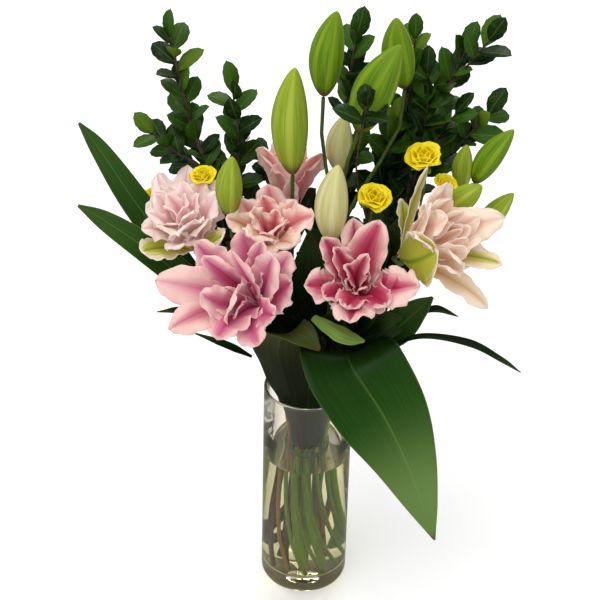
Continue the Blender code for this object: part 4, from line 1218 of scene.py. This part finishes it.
# Count, spread from the axis in degrees, reach and width as shares of the rose's own size, bend, cup.
ROSE_WHORLS = (
    (5, 42, 1.0, 1.15, 0.9, 0.8),
    (5, 28, 1.0, 1.05, 0.3, 1.0),
    (5, 17, 0.98, 0.9, -0.2, 1.2),
    (4, 8, 0.95, 0.6, -0.3, 1.4),
)
SEPALS = 5
for order, side in enumerate(("middle", "right_upper", "right_lower", "left_upper", "left_lower")):
    foot, axis, height = stands_on("rose_" + side)
    low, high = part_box("rose_" + side)
    size = min(high.x - low.x, high.y - low.y) / 2
    right, up = round_axis(axis, (0.3, 0.9, 0.2))
    petals, tags, sepals = [], [], []
    chance = np.random.default_rng(70 + order)
    for count, spread, reach, width, bend, cup in ROSE_WHORLS:
        start = chance.uniform(0, 6.28)
        for k in range(count):
            turn = start + 2 * np.pi * k / count
            lean = math.radians(spread * chance.uniform(0.9, 1.15))
            radial = right * math.cos(turn) + up * math.sin(turn)
            length = height * reach * chance.uniform(0.93, 1.02)
            tip = foot + length * (axis * math.cos(lean) + radial * math.sin(lean))
            start_at = foot + axis * height * 0.08 + radial * size * 0.12
            shape = (size * width * 1.25, bend, cup, 0.6 * MM, 900 + 40 * order + len(petals))
            petals.append(tepal(start_at, tip, axis, *shape, 14, 11, widest=0.75, base=0.45))
            tags.append((chance.uniform(), 0.0))
    for k in range(SEPALS):
        turn = 2 * np.pi * k / SEPALS + 0.4
        radial = right * math.cos(turn) + up * math.sin(turn)
        tip = foot + axis * height * 0.30 + radial * size * 0.95
        sepals.append(tepal(foot, tip, axis, size * 0.32, 0.9, 0.6, 0.2 * MM, 960 + k, 10, 5, 0.4, 0.6))
    flower = sheet("rose_petals_" + side, petals, 0.4 * MM, tags)
    wear(flower, rose_face, rose_back)
    cup_of_sepals = sheet("rose_sepals_" + side, sepals, 0.4 * MM)
    wear(cup_of_sepals, sepal_skin, sepal_skin)
    flower = joined("spray_rose_" + side, [flower, cup_of_sepals])
    finish(flower, "yellow_rose", "rose_" + side)


# ------------------------------------------------------------------ studio
# A plain pale sweep under soft, even light, with the camera looking down on the flowers.
# The sweep is darker in reflections, as the room round it would be, which keeps the glass clear.

FLOOR_REACH = 6
corners = [(x * FLOOR_REACH, y * FLOOR_REACH, 0) for x, y in ((-1, -1), (1, -1), (1, 1), (-1, 1))]
floor_mesh = bpy.data.meshes.new("studio_floor")
floor_mesh.from_pydata(corners, [], [(0, 1, 2, 3)])
floor = linked("studio_floor", floor_mesh)
material, paint, shader = new_material("studio_paper", Roughness=0.9, Specular_IOR_Level=0.1)
ray = paint.node("ShaderNodeLightPath", {}).outputs
mirrored = paint.maths("SUBTRACT", ray["Is Glossy Ray"], ray["Is Transmission Ray"], clamp=True)
paint.feed(shader, "Base Color", paint.coats(colour("FCFCFC"), (mirrored, "A8AA9C")))
wear(floor, material)
floor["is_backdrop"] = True

scene = bpy.context.scene
scene.world = bpy.data.worlds.new("soft_daylight")
scene.world.use_nodes = True
sky = scene.world.node_tree.nodes["Background"]
sky.inputs["Color"].default_value = (1.0, 1.0, 1.0, 1.0)
sky.inputs["Strength"].default_value = 0.62


def soft_light(name, place, aim, size, power):
    lamp = bpy.data.lights.new(name, "AREA")
    lamp.shape = "DISK"
    lamp.size = size
    lamp.energy = power
    made = linked(name, lamp)
    made.location = place
    made.rotation_euler = (Vector(aim) - Vector(place)).to_track_quat("-Z", "Y").to_euler()


soft_light("key_light", (-1.0, -1.6, 4.2), (0, 0, 0.4), 4.5, 128)
soft_light("back_light", (0.6, 3.4, 4.0), (0, 1.6, 0), 2.0, 90)

CAMERA_PLACE = Vector((-0.0119, -1.648, 1.401))
CAMERA_TILT = math.radians(31.8)
CAMERA_ROLL = math.radians(1.45)
camera = bpy.data.cameras.new("camera")
camera.sensor_width = 36.0
camera.lens = 106.7
camera.clip_end = 30.0
viewer = linked("camera", camera)
forward = Vector((0, math.cos(CAMERA_TILT), -math.sin(CAMERA_TILT)))
level = Vector((1, 0, 0))
overhead = Vector((0, math.sin(CAMERA_TILT), math.cos(CAMERA_TILT)))
rightward = level * math.cos(CAMERA_ROLL) + overhead * math.sin(CAMERA_ROLL)
upward = overhead * math.cos(CAMERA_ROLL) - level * math.sin(CAMERA_ROLL)
turned_to = Matrix((rightward, upward, -forward)).transposed().to_4x4()
viewer.matrix_world = Matrix.Translation(CAMERA_PLACE) @ turned_to
scene.camera = viewer
scene.view_settings.view_transform = "Standard"
scene.cycles.transmission_bounces = scene.cycles.glossy_bounces = 32
scene.cycles.max_bounces = 40

sizes = {"cad": [list(corner) for corner in cad_box], "visual": [list(corner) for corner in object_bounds()]}
